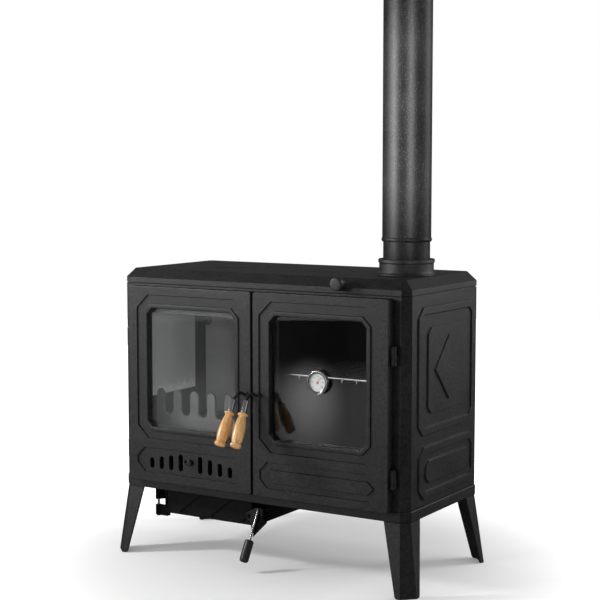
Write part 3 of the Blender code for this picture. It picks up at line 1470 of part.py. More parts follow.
def ash_lug(low, high):
    """Knuckle on the left end of the ash door, cut back to swing clear of the box's lug."""
    front, back = ash_door_levels()
    pin = (ASH_PIN_X, ASH_PIN_Y)
    barrel = cylinder("Z", pin, ASH_LUG, low, high, 16)
    arm = box((ASH_PIN_X, ASH_DOOR[0] + ASH_DOOR_WALL), (ASH_PIN_Y - ASH_LUG, ASH_PIN_Y + ASH_LUG * 0.7), (low, high))
    return union(barrel, arm)


def build_ash_door():
    left, right, low, high = ASH_DOOR
    front, back = ash_door_levels()
    wall = ASH_DOOR_WALL
    edge = CAST_EDGE
    levels = [
        (rounded(left + edge, right - edge, low + edge, high - edge, 0.003), front),
        (rounded(left, right, low, high, 0.004), front + edge),
        (rounded(left, right, low, high, 0.004), back),
        (rounded(left + wall, right - wall, low + wall, high - wall, 0.002), back),
        (rounded(left + wall, right - wall, low + wall, high - wall, 0.002), front + wall + FIELD_DEPTH),
    ]
    field = Octagon(left + 0.005, right - 0.018, low + 0.007, high - 0.004, 0.002)
    door = subtract(steps("Y", levels), sunken("Y", field, 1, front, FIELD_DEPTH))
    bars = [ash_bar(field, index, front) for index in range(3)]
    lugs = [ash_lug(*ASH_LUG_LOW), ash_lug(ASH_LUG_MIDDLE[1] + SEAT, ASH_LUG_HIGH)]
    lever_front, lever_back = lever_levels()
    stud = turned(
        "Y",
        LEVER_PIVOT,
        [
            (0.003, front + 0.002),
            (0.003, lever_front - SEAT),
            (0.0055, lever_front - SEAT),
            (0.0055, lever_front - SEAT - 0.003),
            (0.0040, lever_front - SEAT - 0.004),
        ],
        SMALL,
    )
    door = union(door, *bars, *lugs, stud)
    pin = (ASH_PIN_X, ASH_PIN_Y)
    bore = cylinder("Z", pin, HINGE_PIN + TURN, ASH_LUG_LOW[0] - EMBED, ASH_LUG_HIGH + EMBED)
    piece("ash_door", subtract(door, bore), IRON, (*pin, ASH_LUG_LOW[0]))
    head = ASH_LUG_LOW[0] - SEAT
    profile = [
        (HINGE_HEAD[0], head - HINGE_HEAD[1]),
        (HINGE_HEAD[0], head),
        (HINGE_PIN, head),
        (HINGE_PIN, ASH_LUG_HIGH),
    ]
    piece("ash_hinge_pin", turned("Z", pin, profile, SMALL), STEEL, (*pin, ASH_LUG_LOW[0]))


def ash_bar(field, index, front):
    """One of the slanted bars in the ash door's field, cut off at the field's edges."""
    start = field.left - 0.0175 + index * ASH_BAR_PITCH
    low, high = field.low - EMBED, field.high + EMBED
    lean = ASH_BAR_LEAN * (high - low)
    base = [
        (start, low),
        (start + ASH_BAR_WIDTH, low),
        (start + ASH_BAR_WIDTH + lean, high),
        (start + lean, high),
    ]
    deep = (front + 0.0004, front + FIELD_DEPTH + EMBED)
    return combine(prism("Y", base, *deep), [prism("Y", field.grow(EMBED / 2).points(), *deep)], "INTERSECT")


def build_ash_lever():
    x, z = LEVER_PIVOT
    origin = (x, lever_levels()[1], z)
    peg, radius = LEVER_PEG
    clear = radius + 0.0012
    notch_left, notch_right = peg - clear, peg + clear
    outline = [
        (-0.0080, 0.0),
        (-0.0050, 0.0070),
        (0.0070, 0.0140),
        (0.0220, 0.0230),
        (0.0390, 0.0230),
        (0.0425, 0.0190),
        (0.0415, -0.0040),
        (0.0385, -0.0065),
        (notch_right, -0.0040),
        (notch_right, clear),
        (notch_left, clear),
        (notch_left, -0.0066),
        (0.0195, -0.0170),
        (0.0160, -0.0430),
        (0.0095, -0.0430),
        (0.0075, -0.0160),
        (-0.0050, -0.0075),
    ]
    front, back = lever_levels()
    plate = prism("Y", [(x + u, z + v) for u, v in outline], front, back)
    hole = cylinder("Y", LEVER_PIVOT, 0.003 + TURN, front - EMBED, back + EMBED)
    piece("ash_lever", subtract(plate, hole), IRON, origin)
    y = front - SEAT - LEVER_ROD
    tip = Vector((x + LEVER_REACH[0], ASH_FRONT - LEVER_REACH[1], z - LEVER_REACH[2]))
    out = Vector((0.0, -0.028, -0.047)).normalized()
    path = [(x + 0.0320, y, z + 0.0230), (x + 0.0312, y, z + 0.0165), (x + 0.0306, y - 0.0016, z + 0.0110)]
    path += [tip, tip + out * 0.012]
    piece("ash_lever_rod", rod(path, LEVER_ROD, 10), STEEL, origin)
    radius, length = LEVER_KNOB
    bore = LEVER_ROD + SEAT
    profile = [
        (radius - 0.0045, length),
        (radius - 0.0012, length - 0.0022),
        (radius, length - 0.006),
        (radius, 0.004),
        (radius - 0.0015, 0.0008),
        (radius - 0.0035, 0),
        (bore, 0),
        (bore, 0.013),
    ]
    piece("ash_lever_knob", aimed(turned("Z", (0, 0), profile, ROUND), tip, out), BAKELITE, origin)


def ash_pan_left():
    """Left side of the pan, far enough in to come out past the open ash door."""
    return ASH_DOOR[0] + ASH_PAN_ASIDE


def build_ash_pan():
    left, right = ash_pan_left(), ASH_DOOR[1] - 0.0105
    floor = ASH_BOTTOM + ASH_WALL + SEAT
    top = ASH_DOOR[3] - 0.011
    y = (ASH_FRONT + 0.008, ASH_BACK - ASH_WALL - 0.006)
    wall = 0.0015
    levels = [
        (rounded(left, right, *y, 0.006), floor),
        (rounded(left, right, *y, 0.006), top),
        (rounded(left + wall, right - wall, y[0] + wall, y[1] - wall, 0.0045), top),
        (rounded(left + wall, right - wall, y[0] + wall, y[1] - wall, 0.0045), floor + wall),
    ]
    pan = steps("Z", levels)
    pull_z = (top - 0.020, top - 0.017)
    pull = box(span((left + right) / 2, 0.06), (y[0] - 0.012, y[0] + wall / 2), pull_z)
    piece("ash_pan", union(pan, pull), SHEET)


def centre_on_origin():
    """Moves every piece along Y by one distance, to a tenth of a millimetre."""
    pieces = list(bpy.data.objects)
    reach = [obj.location.y + vertex.co.y for obj in pieces for vertex in obj.data.vertices]
    middle = round((min(reach) + max(reach)) / 2, 4)
    for obj in pieces:
        obj.location.y -= middle


def main():
    for old in list(bpy.data.objects):
        bpy.data.objects.remove(old)
    build_base()
    build_front_frame()
    build_back_panel()
    build_side_panel(FIREBOX, "side_panel_left")
    build_side_panel(OVEN, "side_panel_right")
    for name, side_x, side_y in (
        ("leg_front_left", -1, -1),
        ("leg_front_right", 1, -1),
        ("leg_rear_left", -1, 1),
        ("leg_rear_right", 1, 1),
    ):
        build_leg(name, side_x, side_y)
    build_top_plate()
    build_hobs()
    build_flue()
    build_damper()
    build_firebox_door()
    build_oven_door()
    for side, name in ((FIREBOX, "firebox"), (OVEN, "oven")):
        build_glazing(side, name)
        build_hinge_pins(side, name)
        build_handle(side, name)
        build_latch_hook(side, name)
    build_air_slide()
    build_thermometer()
    build_oven()
    build_oven_rack()
    build_partition()
    build_grate()
    build_guard()
    build_liners()
    build_ash_box()
    build_ash_door()
    build_ash_lever()
    build_ash_pan()
    centre_on_origin()


main()
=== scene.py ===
"""Cast iron stove in a plain white studio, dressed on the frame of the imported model.

Lengths are in metres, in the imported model's frame: X to the right, Y to the back, Z up. The doors
face -Y. A piece is built in its place, so its object stays at the origin, and it rides on the body
of the node that it stands for.
"""

import json
import logging
import math
from collections.abc import Sequence
from dataclasses import dataclass, field
from enum import Enum

import bpy
from mathutils import Euler, Matrix, Vector

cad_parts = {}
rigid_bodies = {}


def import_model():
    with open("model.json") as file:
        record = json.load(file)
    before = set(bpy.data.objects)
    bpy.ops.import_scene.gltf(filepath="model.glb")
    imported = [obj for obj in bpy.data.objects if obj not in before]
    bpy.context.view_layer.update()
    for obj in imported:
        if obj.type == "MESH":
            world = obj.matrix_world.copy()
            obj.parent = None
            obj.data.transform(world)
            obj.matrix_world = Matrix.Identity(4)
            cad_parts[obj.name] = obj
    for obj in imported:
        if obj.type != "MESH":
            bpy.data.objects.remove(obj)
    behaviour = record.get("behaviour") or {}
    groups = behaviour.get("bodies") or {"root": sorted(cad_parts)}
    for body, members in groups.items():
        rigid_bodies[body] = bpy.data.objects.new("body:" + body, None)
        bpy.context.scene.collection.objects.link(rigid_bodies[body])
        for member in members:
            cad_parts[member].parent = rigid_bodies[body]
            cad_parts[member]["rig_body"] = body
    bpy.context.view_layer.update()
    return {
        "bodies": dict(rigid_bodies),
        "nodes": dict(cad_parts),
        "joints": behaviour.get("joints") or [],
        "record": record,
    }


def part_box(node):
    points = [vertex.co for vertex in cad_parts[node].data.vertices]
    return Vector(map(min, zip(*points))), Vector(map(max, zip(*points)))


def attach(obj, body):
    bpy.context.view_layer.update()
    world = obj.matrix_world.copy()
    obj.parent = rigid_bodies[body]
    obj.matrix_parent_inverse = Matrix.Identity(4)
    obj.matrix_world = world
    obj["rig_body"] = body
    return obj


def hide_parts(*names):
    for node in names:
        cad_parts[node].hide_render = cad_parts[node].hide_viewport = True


LOG = logging.getLogger("stove")
MERGE = 0.000001

Pair = tuple[float, float]
Point = tuple[float, float, float]
Colour = tuple[float, float, float]


class Slot(Enum):
    """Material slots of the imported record."""

    IRON = "cast_iron_black"
    HOB = "hob_iron"
    LINING = "lining_grey"
    FLUE = "flue_paint"
    STEEL = "bright_steel"
    CHROME = "chrome_trim"
    BLACK_STEEL = "black_steel"
    SHEET = "oven_sheet"
    GLASS = "door_glass"
    ROPE = "seal_rope"
    BEECH = "turned_beech"
    DIAL = "dial_white"
    NEEDLE = "needle_red"
    BAKELITE = "black_bakelite"


class Way(Enum):
    """Directions along which a turned piece may point."""

    UP = (0.0, 0.0, 1.0)
    FRONT = (0.0, -1.0, 0.0)


SLOT_FINISHES = {
    Slot.IRON: "cast_iron",
    Slot.HOB: "hob_iron",
    Slot.LINING: "lining_rear",
    Slot.FLUE: "flue_paint",
    Slot.STEEL: "bright_steel",
    Slot.CHROME: "chrome",
    Slot.BLACK_STEEL: "black_steel",
    Slot.SHEET: "oven_enamel",
    Slot.GLASS: "door_glass",
    Slot.ROPE: "seal_rope",
    Slot.BEECH: "firebox_beech",
    Slot.DIAL: "dial_white",
    Slot.NEEDLE: "needle_red",
    Slot.BAKELITE: "bakelite",
}
NODE_FINISHES = {
    "firebox_liner_left": "lining_left",
    "fire_guard": "fire_iron",
    "firebox_grate": "fire_iron",
    "firebox_partition": "fire_iron",
    # Painted shade: the ash box, the ash door and the oven's hinge pins take a darker copy of the cast iron,
    # for the shade under the base plate and beside the oven door.
    "ash_box": "ash_iron",
    "ash_door": "ash_iron",
    "oven_hinge_pin_lower": "ash_iron",
    "oven_hinge_pin_upper": "ash_iron",
    "firebox_glass": "fire_glass",
}


# Shader maths


class Signal:
    """Number socket of a node tree. Arithmetic on it adds Math nodes."""

    def __init__(self, tree: bpy.types.NodeTree, socket: bpy.types.NodeSocket) -> None:
        """Keeps the socket and the tree that it belongs to."""
        self.tree = tree
        self.socket = socket

    def maths(self, operation: str, first: "Signal | float", second: "Signal | float") -> "Signal":
        """Result of one Math node with these two inputs."""
        node = add_node(self.tree, "ShaderNodeMath", {"operation": operation}, {0: first, 1: second})
        return Signal(self.tree, node.outputs[0])

    def __add__(self, other: "Signal | float") -> "Signal":
        """Sum."""
        return self.maths("ADD", self, other)

    __radd__ = __add__

    def __sub__(self, other: "Signal | float") -> "Signal":
        """Difference."""
        return self.maths("SUBTRACT", self, other)

    def __rsub__(self, other: float) -> "Signal":
        """Difference from a number."""
        return self.maths("SUBTRACT", other, self)

    def __mul__(self, other: "Signal | float") -> "Signal":
        """Product."""
        return self.maths("MULTIPLY", self, other)

    def larger(self, other: "Signal") -> "Signal":
        """The larger of two."""
        return self.maths("MAXIMUM", self, other)

    def eased(self, low: float, high: float) -> "Signal":
        """Smooth step.

        Args:
            low: Where it starts to rise from 0.
            high: Where it reaches 1.

        Returns:
            The step.
        """
        node = add_node(
            self.tree,
            "ShaderNodeMapRange",
            {"interpolation_type": "SMOOTHSTEP"},
            {"Value": self, "From Min": low, "From Max": high},
        )
        return Signal(self.tree, node.outputs["Result"])


def feed(tree: bpy.types.NodeTree, socket: bpy.types.NodeSocket, value: object) -> None:
    """Links or sets one input.

    Args:
        tree: The node tree.
        socket: The input.
        value: A signal or an output socket to link, or a plain value. A colour may have three numbers.
    """
    if isinstance(value, Signal):
        tree.links.new(value.socket, socket)
    elif isinstance(value, bpy.types.NodeSocket):
        tree.links.new(value, socket)
    elif socket.type == "RGBA" and len(value) == 3:
        socket.default_value = (*value, 1.0)
    else:
        socket.default_value = value


def add_node(
    tree: bpy.types.NodeTree, kind: str, settings: dict | None = None, sockets: dict | None = None
) -> bpy.types.Node:
    """Adds any node.

    Args:
        tree: The node tree.
        kind: Type of the node.
        settings: Its properties, set first.
        sockets: Values or links of its inputs, by name or index.

    Returns:
        The node.
    """
    made = tree.nodes.new(kind)
    for name, value in (settings or {}).items():
        setattr(made, name, value)
    for key, value in (sockets or {}).items():
        feed(tree, made.inputs[key], value)
    return made


def ray(tree: bpy.types.NodeTree, kind: str) -> Signal:
    """1 on rays of the kind that the Light Path node calls this, and 0 on others."""
    return Signal(tree, add_node(tree, "ShaderNodeLightPath").outputs[kind])


def seen(tree: bpy.types.NodeTree) -> Signal:
    """1 on rays that reach the eye straight or through glass."""
    return ray(tree, "Is Camera Ray").larger(ray(tree, "Is Transmission Ray"))


class Recipe:
    """Node tree of one material, which starts from its Principled shader."""

    def __init__(self, name: str) -> None:
        """Makes the material.

        Args:
            name: Name of the material.
        """
        self.material = bpy.data.materials.new(name)
        self.material.use_nodes = True
        self.tree = self.material.node_tree
        self.shader = self.tree.nodes["Principled BSDF"]
        self.place = self.node("ShaderNodeTexCoord").outputs["Object"]

    def node(self, kind: str, settings: dict | None = None, sockets: dict | None = None) -> bpy.types.Node:
        """Adds any node, as add_node does."""
        return add_node(self.tree, kind, settings, sockets)

    def set(self, **sockets: object) -> None:
        """Feeds the Principled shader. A socket's name is written with underscores."""
        for name, value in sockets.items():
            feed(self.tree, self.shader.inputs[name.replace("_", " ")], value)

    def surface(self, shader: bpy.types.Node) -> None:
        """Shows this shader in place of the Principled one."""
        feed(self.tree, self.tree.nodes["Material Output"].inputs["Surface"], shader.outputs[0])

    def moved(
        self, scale: Point, turn: Point = (0.0, 0.0, 0.0), start: bpy.types.NodeSocket | None = None
    ) -> bpy.types.NodeSocket:
        """Coordinates turned and then scaled.

        Args:
            scale: Factors along the turned axes.
            turn: Euler angles in radians that carry the piece's own axes to X, Y and Z.
            start: Coordinates to move. The object's own when left out.

        Returns:
            The coordinates.
        """
        turned = self.node("ShaderNodeMapping", None, {"Vector": start or self.place, "Rotation": turn})
        return self.node("ShaderNodeMapping", None, {"Vector": turned.outputs[0], "Scale": scale}).outputs[0]

    def around(self, middle: Pair) -> bpy.types.NodeSocket:
        """Object coordinates measured from a place on the floor."""
        sockets = {0: self.place, 1: (*middle, 0.0)}
        return self.node("ShaderNodeVectorMath", {"operation": "SUBTRACT"}, sockets).outputs[0]

    def length(self, vector: bpy.types.NodeSocket) -> Signal:
        """Length of a vector."""
        made = self.node("ShaderNodeVectorMath", {"operation": "LENGTH"}, {0: vector})
        return Signal(self.tree, made.outputs["Value"])

    def noise(
        self, scale: float, detail: float = 2.0, rough: float = 0.5, at: bpy.types.NodeSocket | None = None
    ) -> Signal:
        """Soft noise from 0 to 1.

        Args:
            scale: Features per metre, or per unit of the given coordinates.
            detail: Octaves.
            rough: Strength of the finer octaves.
            at: Coordinates. The object's own when left out.

        Returns:
            The noise.
        """
        sockets = {"Vector": at or self.place, "Scale": scale, "Detail": detail, "Roughness": rough}
        return Signal(self.tree, self.node("ShaderNodeTexNoise", None, sockets).outputs[0])

    def cells(self, scale: float) -> Signal:
        """Distance to the nearest of scattered points, this many to the metre."""
        sockets = {"Vector": self.place, "Scale": scale}
        return Signal(self.tree, self.node("ShaderNodeTexVoronoi", None, sockets).outputs["Distance"])

    def axis(self, name: str) -> Signal:
        """One of the object's coordinates, in metres."""
        return Signal(self.tree, self.node("ShaderNodeSeparateXYZ", None, {0: self.place}).outputs[name])

    def mix(self, share: Signal, first: object, second: object) -> bpy.types.NodeSocket:
        """Colour or colour socket from the first at share 0 to the second at share 1."""
        return self.node("ShaderNodeMix", {"data_type": "RGBA"}, {0: share, 6: first, 7: second}).outputs[2]

    def bump(self, height: Signal, depth: float) -> None:
        """Gives the shader a bump of this depth in metres where the height is 1."""
        made = self.node("ShaderNodeBump", None, {"Height": height, "Distance": depth, "Strength": 1.0})
        self.set(Normal=made.outputs[0])


# Finishes


@dataclass(frozen=True)
class Finish:
    """One material of the stove or of its studio."""

    name: str

    def make(self) -> bpy.types.Material:
        """Makes the material.

        Returns:
            The material with its nodes.
        """
        recipe = Recipe(self.name)
        self.fill(recipe)
        return recipe.material

    def fill(self, recipe: Recipe) -> None:
        """Sets up the nodes, which each kind of finish does its own way."""
        raise NotImplementedError(self.name)


@dataclass(frozen=True)
class CastIron(Finish):
    """Sand-cast iron with a matt black paint: a fine grain in lumps, faint clouds and a few pits."""

    name: str = "cast_iron"
    dark: Colour = (0.0045, 0.0045, 0.0047)
    light: Colour = (0.0200, 0.0200, 0.0207)
    roughness: float = 0.46
    grain: float = 720.0
    depth: float = 0.00075
    shine: float = 0.5
    grains_in_lump: float = 4.6
    grains_in_pit: float = 4.0
    clouds: float = 7.0

    def fill(self, recipe: Recipe) -> None:
        """Mixes the two tones by grain, lumps and clouds.

        Args:
            recipe: The material's recipe.
        """
        grain = recipe.noise(self.grain, 3.0, 0.6)
        lumps = recipe.noise(self.grain / self.grains_in_lump, 4.0, 0.62)
        clouds = recipe.noise(self.clouds, 3.0, 0.55)
        pits = recipe.cells(self.grain / self.grains_in_pit).eased(0.06, 0.22)
        tone = (grain * 0.30 + lumps * 0.80 + clouds * 0.30 - 0.20).eased(0.3, 0.7)
        recipe.set(
            Base_Color=recipe.mix(tone, self.dark, self.light),
            Roughness=grain * 0.16 + clouds * 0.12 + (self.roughness - 0.14),
            Specular_IOR_Level=self.shine,
        )
        recipe.bump(grain * 0.35 + lumps + pits * 0.3, self.depth)


@dataclass(frozen=True)
class FluePaint(Finish):
    """Black heat-proof paint on a steel pipe, sprayed with a light orange peel."""

    name: str = "flue_paint"
    dark: Colour = (0.0015, 0.0015, 0.0016)
    light: Colour = (0.034, 0.034, 0.0345)
    roughness: float = 0.45
    shine: float = 0.20
    peel: float = 230.0
    specks: float = 200.0
    clouds: float = 9.0
    depth: float = 0.00028

    def fill(self, recipe: Recipe) -> None:
        """Mixes the two tones by specks and clouds.

        Args:
            recipe: The material's recipe.
        """
        peel = recipe.noise(self.peel, 4.0, 0.65)
        specks = 1.0 - recipe.cells(self.specks).eased(0.10, 0.34)
        clouds = recipe.noise(self.clouds, 2.0, 0.5)
        recipe.set(
            Base_Color=recipe.mix((specks * 0.5 + clouds * 0.5).eased(0.1, 0.8), self.dark, self.light),
            Roughness=peel * 0.22 + (self.roughness - 0.11),
            Specular_IOR_Level=self.shine,
        )
        recipe.bump(peel * 0.9 + specks * 0.5, self.depth)


@dataclass(frozen=True)
class Lining(Finish):
    """Grey cast lining plate with soft soot clouds, lighter below a ragged level."""

    dark: Colour
    light: Colour
    clean_below: float = 0.0
    clean: Colour = (0.80, 0.80, 0.785)
    clouds: float = 6.0
    grain: float = 500.0
    ragged: float = 0.05
    fade: float = 0.03
    depth: float = 0.0003

    def fill(self, recipe: Recipe) -> None:
        """Lays the soot over the clean iron above the level.

        Args:
            recipe: The material's recipe.
        """
        clouds = recipe.noise(self.clouds, 4.0, 0.55)
        grain = recipe.noise(self.grain, 3.0, 0.6)
        sooty = recipe.mix((clouds * 0.8 + grain * 0.3).eased(0.15, 0.75), self.dark, self.light)
        edge = recipe.axis("Z") + recipe.noise(38.0, 3.0, 0.6) * self.ragged - self.clean_below
        recipe.set(
            Base_Color=recipe.mix(edge.eased(0.0, self.fade), self.clean, sooty),
            Roughness=0.60 + grain * 0.25,
        )
        recipe.bump(grain + clouds * 0.5, self.depth)


@dataclass(frozen=True)
class BrightMetal(Finish):
    """Polished or drawn steel with faint smears."""

    tint: Colour
    roughness: float
    smear: float
    metallic: float = 1.0
    smears: float = 60.0
    lines: float = 1400.0
    depth: float = 0.00001

    def fill(self, recipe: Recipe) -> None:
        """Smears the tint and the gloss.

        Args:
            recipe: The material's recipe.
        """
        smears = recipe.noise(self.smears, 3.0, 0.6)
        fine = recipe.noise(self.lines)
        recipe.set(
            Base_Color=recipe.mix(smears.eased(0.3, 0.7), shaded(self.tint, 0.86), self.tint),
            Roughness=smears * self.smear + fine * 0.05 + (self.roughness - self.smear / 2),
            Metallic=self.metallic,
        )
        recipe.bump(fine, self.depth)


@dataclass(frozen=True)
class Enamel(Finish):
    """Smooth dark coat over steel, with a slight wave."""

    dark: Colour = (0.008, 0.008, 0.009)
    light: Colour = (0.018, 0.018, 0.019)
    roughness: float = 0.24
    depth: float = 0.00006
    waves: float = 180.0
    clouds: float = 25.0

    def fill(self, recipe: Recipe) -> None:
        """Clouds the two tones.

        Args:
            recipe: The material's recipe.
        """
        wave = recipe.noise(self.waves)
        clouds = recipe.noise(self.clouds)
        recipe.set(
            Base_Color=recipe.mix(clouds.eased(0.3, 0.7), self.dark, self.light),
            Roughness=clouds * 0.12 + wave * 0.06 + (self.roughness - 0.09),
        )
        recipe.bump(wave, self.depth)


@dataclass(frozen=True)
class DoorGlass(Finish):
    """Clear heat-proof glass that lets the lamps through, with a breath of haze."""

    tint: Colour = (0.93, 0.94, 0.94)
    haze: float = 0.0
    clarity: float = 1.0
    smears: float = 14.0
    ior: float = 1.47

    def fill(self, recipe: Recipe) -> None:
        """Makes glass to the eye and a clear pane to the lamps.

        Args:
            recipe: The material's recipe.
        """
        smears = recipe.noise(self.smears, 3.0, 0.6)
        recipe.set(
            Base_Color=self.tint,
            Roughness=smears.eased(0.35, 0.8) * self.haze,
            IOR=self.ior,
            Transmission_Weight=self.clarity,
        )
        clear = recipe.node("ShaderNodeBsdfTransparent", None, {"Color": self.tint})
        shares = {0: ray(recipe.tree, "Is Shadow Ray"), 1: recipe.shader.outputs[0], 2: clear.outputs[0]}
        recipe.surface(recipe.node("ShaderNodeMixShader", None, shares))


@dataclass(frozen=True)
class Rope(Finish):
    """Braided glass-fibre rope."""

    name: str = "seal_rope"
    thread: Colour = (0.10, 0.095, 0.09)
    gap: Colour = (0.025, 0.024, 0.022)
    braid: float = 520.0
    depth: float = 0.0006

    def fill(self, recipe: Recipe) -> None:
        """Rounds each thread of the braid.

        Args:
            recipe: The material's recipe.
        """
        braid = recipe.cells(self.braid)
        recipe.set(Base_Color=recipe.mix(braid, self.thread, self.gap), Roughness=0.92)
        recipe.bump(1.0 - braid, self.depth)


@dataclass(frozen=True)
class Beech(Finish):
    """Turned beech under clear varnish. Its grain runs along the piece."""

    turn: Point
    pale: Colour = (0.94, 0.60, 0.26)
    deep: Colour = (0.52, 0.22, 0.056)
    rings: Point = (260.0, 260.0, 14.0)
    flecks: Point = (1500.0, 1500.0, 120.0)
    clouds: float = 45.0
    varnish: float = 0.6
    depth: float = 0.00005

    def fill(self, recipe: Recipe) -> None:
        """Stretches rings and flecks along the turned piece.

        Args:
            recipe: The material's recipe.
        """
        rings = recipe.noise(1.0, 3.0, 0.55, recipe.moved(self.rings, self.turn))
        flecks = recipe.noise(1.0, 2.0, 0.6, recipe.moved(self.flecks, self.turn))
        clouds = recipe.noise(self.clouds)
        tone = (rings * 0.75 + flecks * 0.30 + clouds * 0.25 - 0.15).eased(0.25, 0.75)
        recipe.set(
            Base_Color=recipe.mix(tone, self.deep, self.pale),
            Roughness=0.30 + flecks * 0.14,
            Coat_Weight=self.varnish,
            Coat_Roughness=0.16,
        )
        recipe.bump(flecks * 0.6 + rings * 0.4, self.depth)


@dataclass(frozen=True)
class Print(Finish):
    """Paint or print on a small flat face."""

    tint: Colour
    roughness: float = 0.45
    fine: float = 900.0
    depth: float = 0.00001

    def fill(self, recipe: Recipe) -> None:
        """Varies the tint a little.

        Args:
            recipe: The material's recipe.
        """
        fine = recipe.noise(self.fine)
        recipe.set(
            Base_Color=recipe.mix(fine, shaded(self.tint, 0.88), self.tint),
            Roughness=fine * 0.1 + (self.roughness - 0.05),
        )
        recipe.bump(fine, self.depth)


@dataclass(frozen=True)
class StudioFloor(Finish):
    """White floor with the stove's soft shadow, partly cast by the lamps and partly a painted shadow. In
    gloss it shows a painted glow: dim, with a long painted pool of light in front.
    """

    name: str = "studio_floor"
    paint: Colour = (0.94, 0.94, 0.94)
    fine: float = 300.0
    # The paint glows to the eye, weakly near the stove and fully far off; the weak part is a painted shadow
    # round the stove.
    lift: Pair = (0.15, 0.90)
    lift_reach: Pair = (0.40, 1.15)
    # What gloss sees of the floor is a painted reflection: a long painted pool of light, a wider painted glow
    # near the front left, and a faint glow beyond.
    pool: Pair = (-1.30, -2.55)
    pool_heading: float = math.radians(58.7)
    pool_size: Pair = (0.75, 0.085)
    pool_glow: float = 1.2
    near_middle: Pair = (-0.9, -1.9)
    near_reach: Pair = (0.9, 2.1)
    near_glow: float = 0.36
    far_glow: float = 0.04

    def fill(self, recipe: Recipe) -> None:
        """Makes the paint glow to the eye, less near the stove, which paints a shadow round it, and shows
        gloss a floor with a painted glow.

        Args:
            recipe: The material's recipe.
        """
        fine = recipe.noise(self.fine)
        recipe.set(Base_Color=recipe.mix(fine, shaded(self.paint, 0.985), self.paint), Roughness=0.9)
        low, high = self.lift
        # Painted shadow: the glow to the eye is weaker near the stove.
        lift = recipe.length(recipe.place).eased(*self.lift_reach) * (high - low) + low
        white = recipe.node("ShaderNodeEmission", None, {"Strength": seen(recipe.tree) * lift})
        lit = recipe.node("ShaderNodeAddShader", None, {0: recipe.shader.outputs[0], 1: white.outputs[0]})
        # Painted reflection: glossy rays see this glow instead of the lit floor.
        painted_reflection = recipe.node("ShaderNodeEmission", None, {"Strength": self.glow(recipe)})
        shares = {0: ray(recipe.tree, "Is Glossy Ray"), 1: lit.outputs[0], 2: painted_reflection.outputs[0]}
        recipe.surface(recipe.node("ShaderNodeMixShader", None, shares))

    def glow(self, recipe: Recipe) -> Signal:
        """Painted brightness of the floor in gloss.

        Args:
            recipe: The material's recipe.

        Returns:
            A wide painted glow that fades with the distance, and the oblong painted pool of light.
        """
        away = recipe.length(recipe.around(self.near_middle)).eased(*self.near_reach)
        long, wide = self.pool_size
        turn = (0.0, 0.0, -self.pool_heading)
        oblong = recipe.length(recipe.moved((1 / long, 1 / wide, 1), turn, recipe.around(self.pool)))
        wide_glow = (1.0 - away) * self.near_glow + self.far_glow
        return wide_glow + (1.0 - oblong.eased(0.0, 2.0)) * self.pool_glow


def shaded(tint: Colour, share: float) -> Colour:
    """Colour with this share of its brightness."""
    return tuple(share * part for part in tint)


# Shaping


class Bench:
    """Selection and modes, as by hand."""

    @staticmethod
    def clear() -> None:
        """Goes to object mode and deselects everything."""
        if bpy.context.mode != "OBJECT":
            bpy.ops.object.mode_set(mode="OBJECT")
        bpy.ops.object.select_all(action="DESELECT")

    @staticmethod
    def take(obj: bpy.types.Object) -> None:
        """Makes an object the only selected and the active one.

        Args:
            obj: The object.
        """
        Bench.clear()
        obj.select_set(True)
        bpy.context.view_layer.objects.active = obj

    @staticmethod
    def edit_all(obj: bpy.types.Object) -> None:
        """Opens an object in edit mode with all of it selected.

        Args:
            obj: The object.
        """
        Bench.take(obj)
        bpy.ops.object.mode_set(mode="EDIT")
        bpy.ops.mesh.select_all(action="SELECT")

    @staticmethod
    def turn_outwards() -> None:
        """Merges doubles in the open mesh and turns its faces outwards."""
        bpy.ops.mesh.select_all(action="SELECT")
        bpy.ops.mesh.remove_doubles(threshold=MERGE)
        bpy.ops.mesh.normals_make_consistent(inside=False)

    @staticmethod
    def shade(obj: bpy.types.Object, angle: float = 30.0) -> None:
        """Shades the object smooth, except across edges sharper than the angle in degrees."""
        Bench.take(obj)
        bpy.ops.object.shade_smooth_by_angle(angle=math.radians(angle))

    @staticmethod
    def apply(obj: bpy.types.Object, kind: str, **settings: object) -> None:
        """Adds one modifier and applies it.

        Args:
            obj: The object.
            kind: Type of the modifier.
            settings: Its properties.
        """
        Bench.take(obj)
        modifier = obj.modifiers.new(kind.lower(), kind)
        for name, value in settings.items():
            setattr(modifier, name, value)
        bpy.ops.object.modifier_apply(modifier=modifier.name)

    @staticmethod
    def finish(obj: bpy.types.Object, matrix: Matrix | None = None, angle: float = 30.0) -> bpy.types.Object:
        """Puts the object's place in its mesh and shades it.

        Args:
            obj: The object.
            matrix: Further move from where it was modelled.
            angle: Sharpest edge that is shaded smooth, in degrees.

        Returns:
            The object.
        """
        Bench.clear()
        obj.data.transform((matrix or Matrix()) @ obj.matrix_basis)
        obj.matrix_basis = Matrix()
        Bench.shade(obj, angle)
        return obj

    @staticmethod
    def flatten(obj: bpy.types.Object, weight: int) -> None:
        """Bends the shading at rounded edges alone, so that flat faces stay flat."""
        Bench.apply(obj, "WEIGHTED_NORMAL", mode="FACE_AREA", weight=weight, keep_sharp=True)


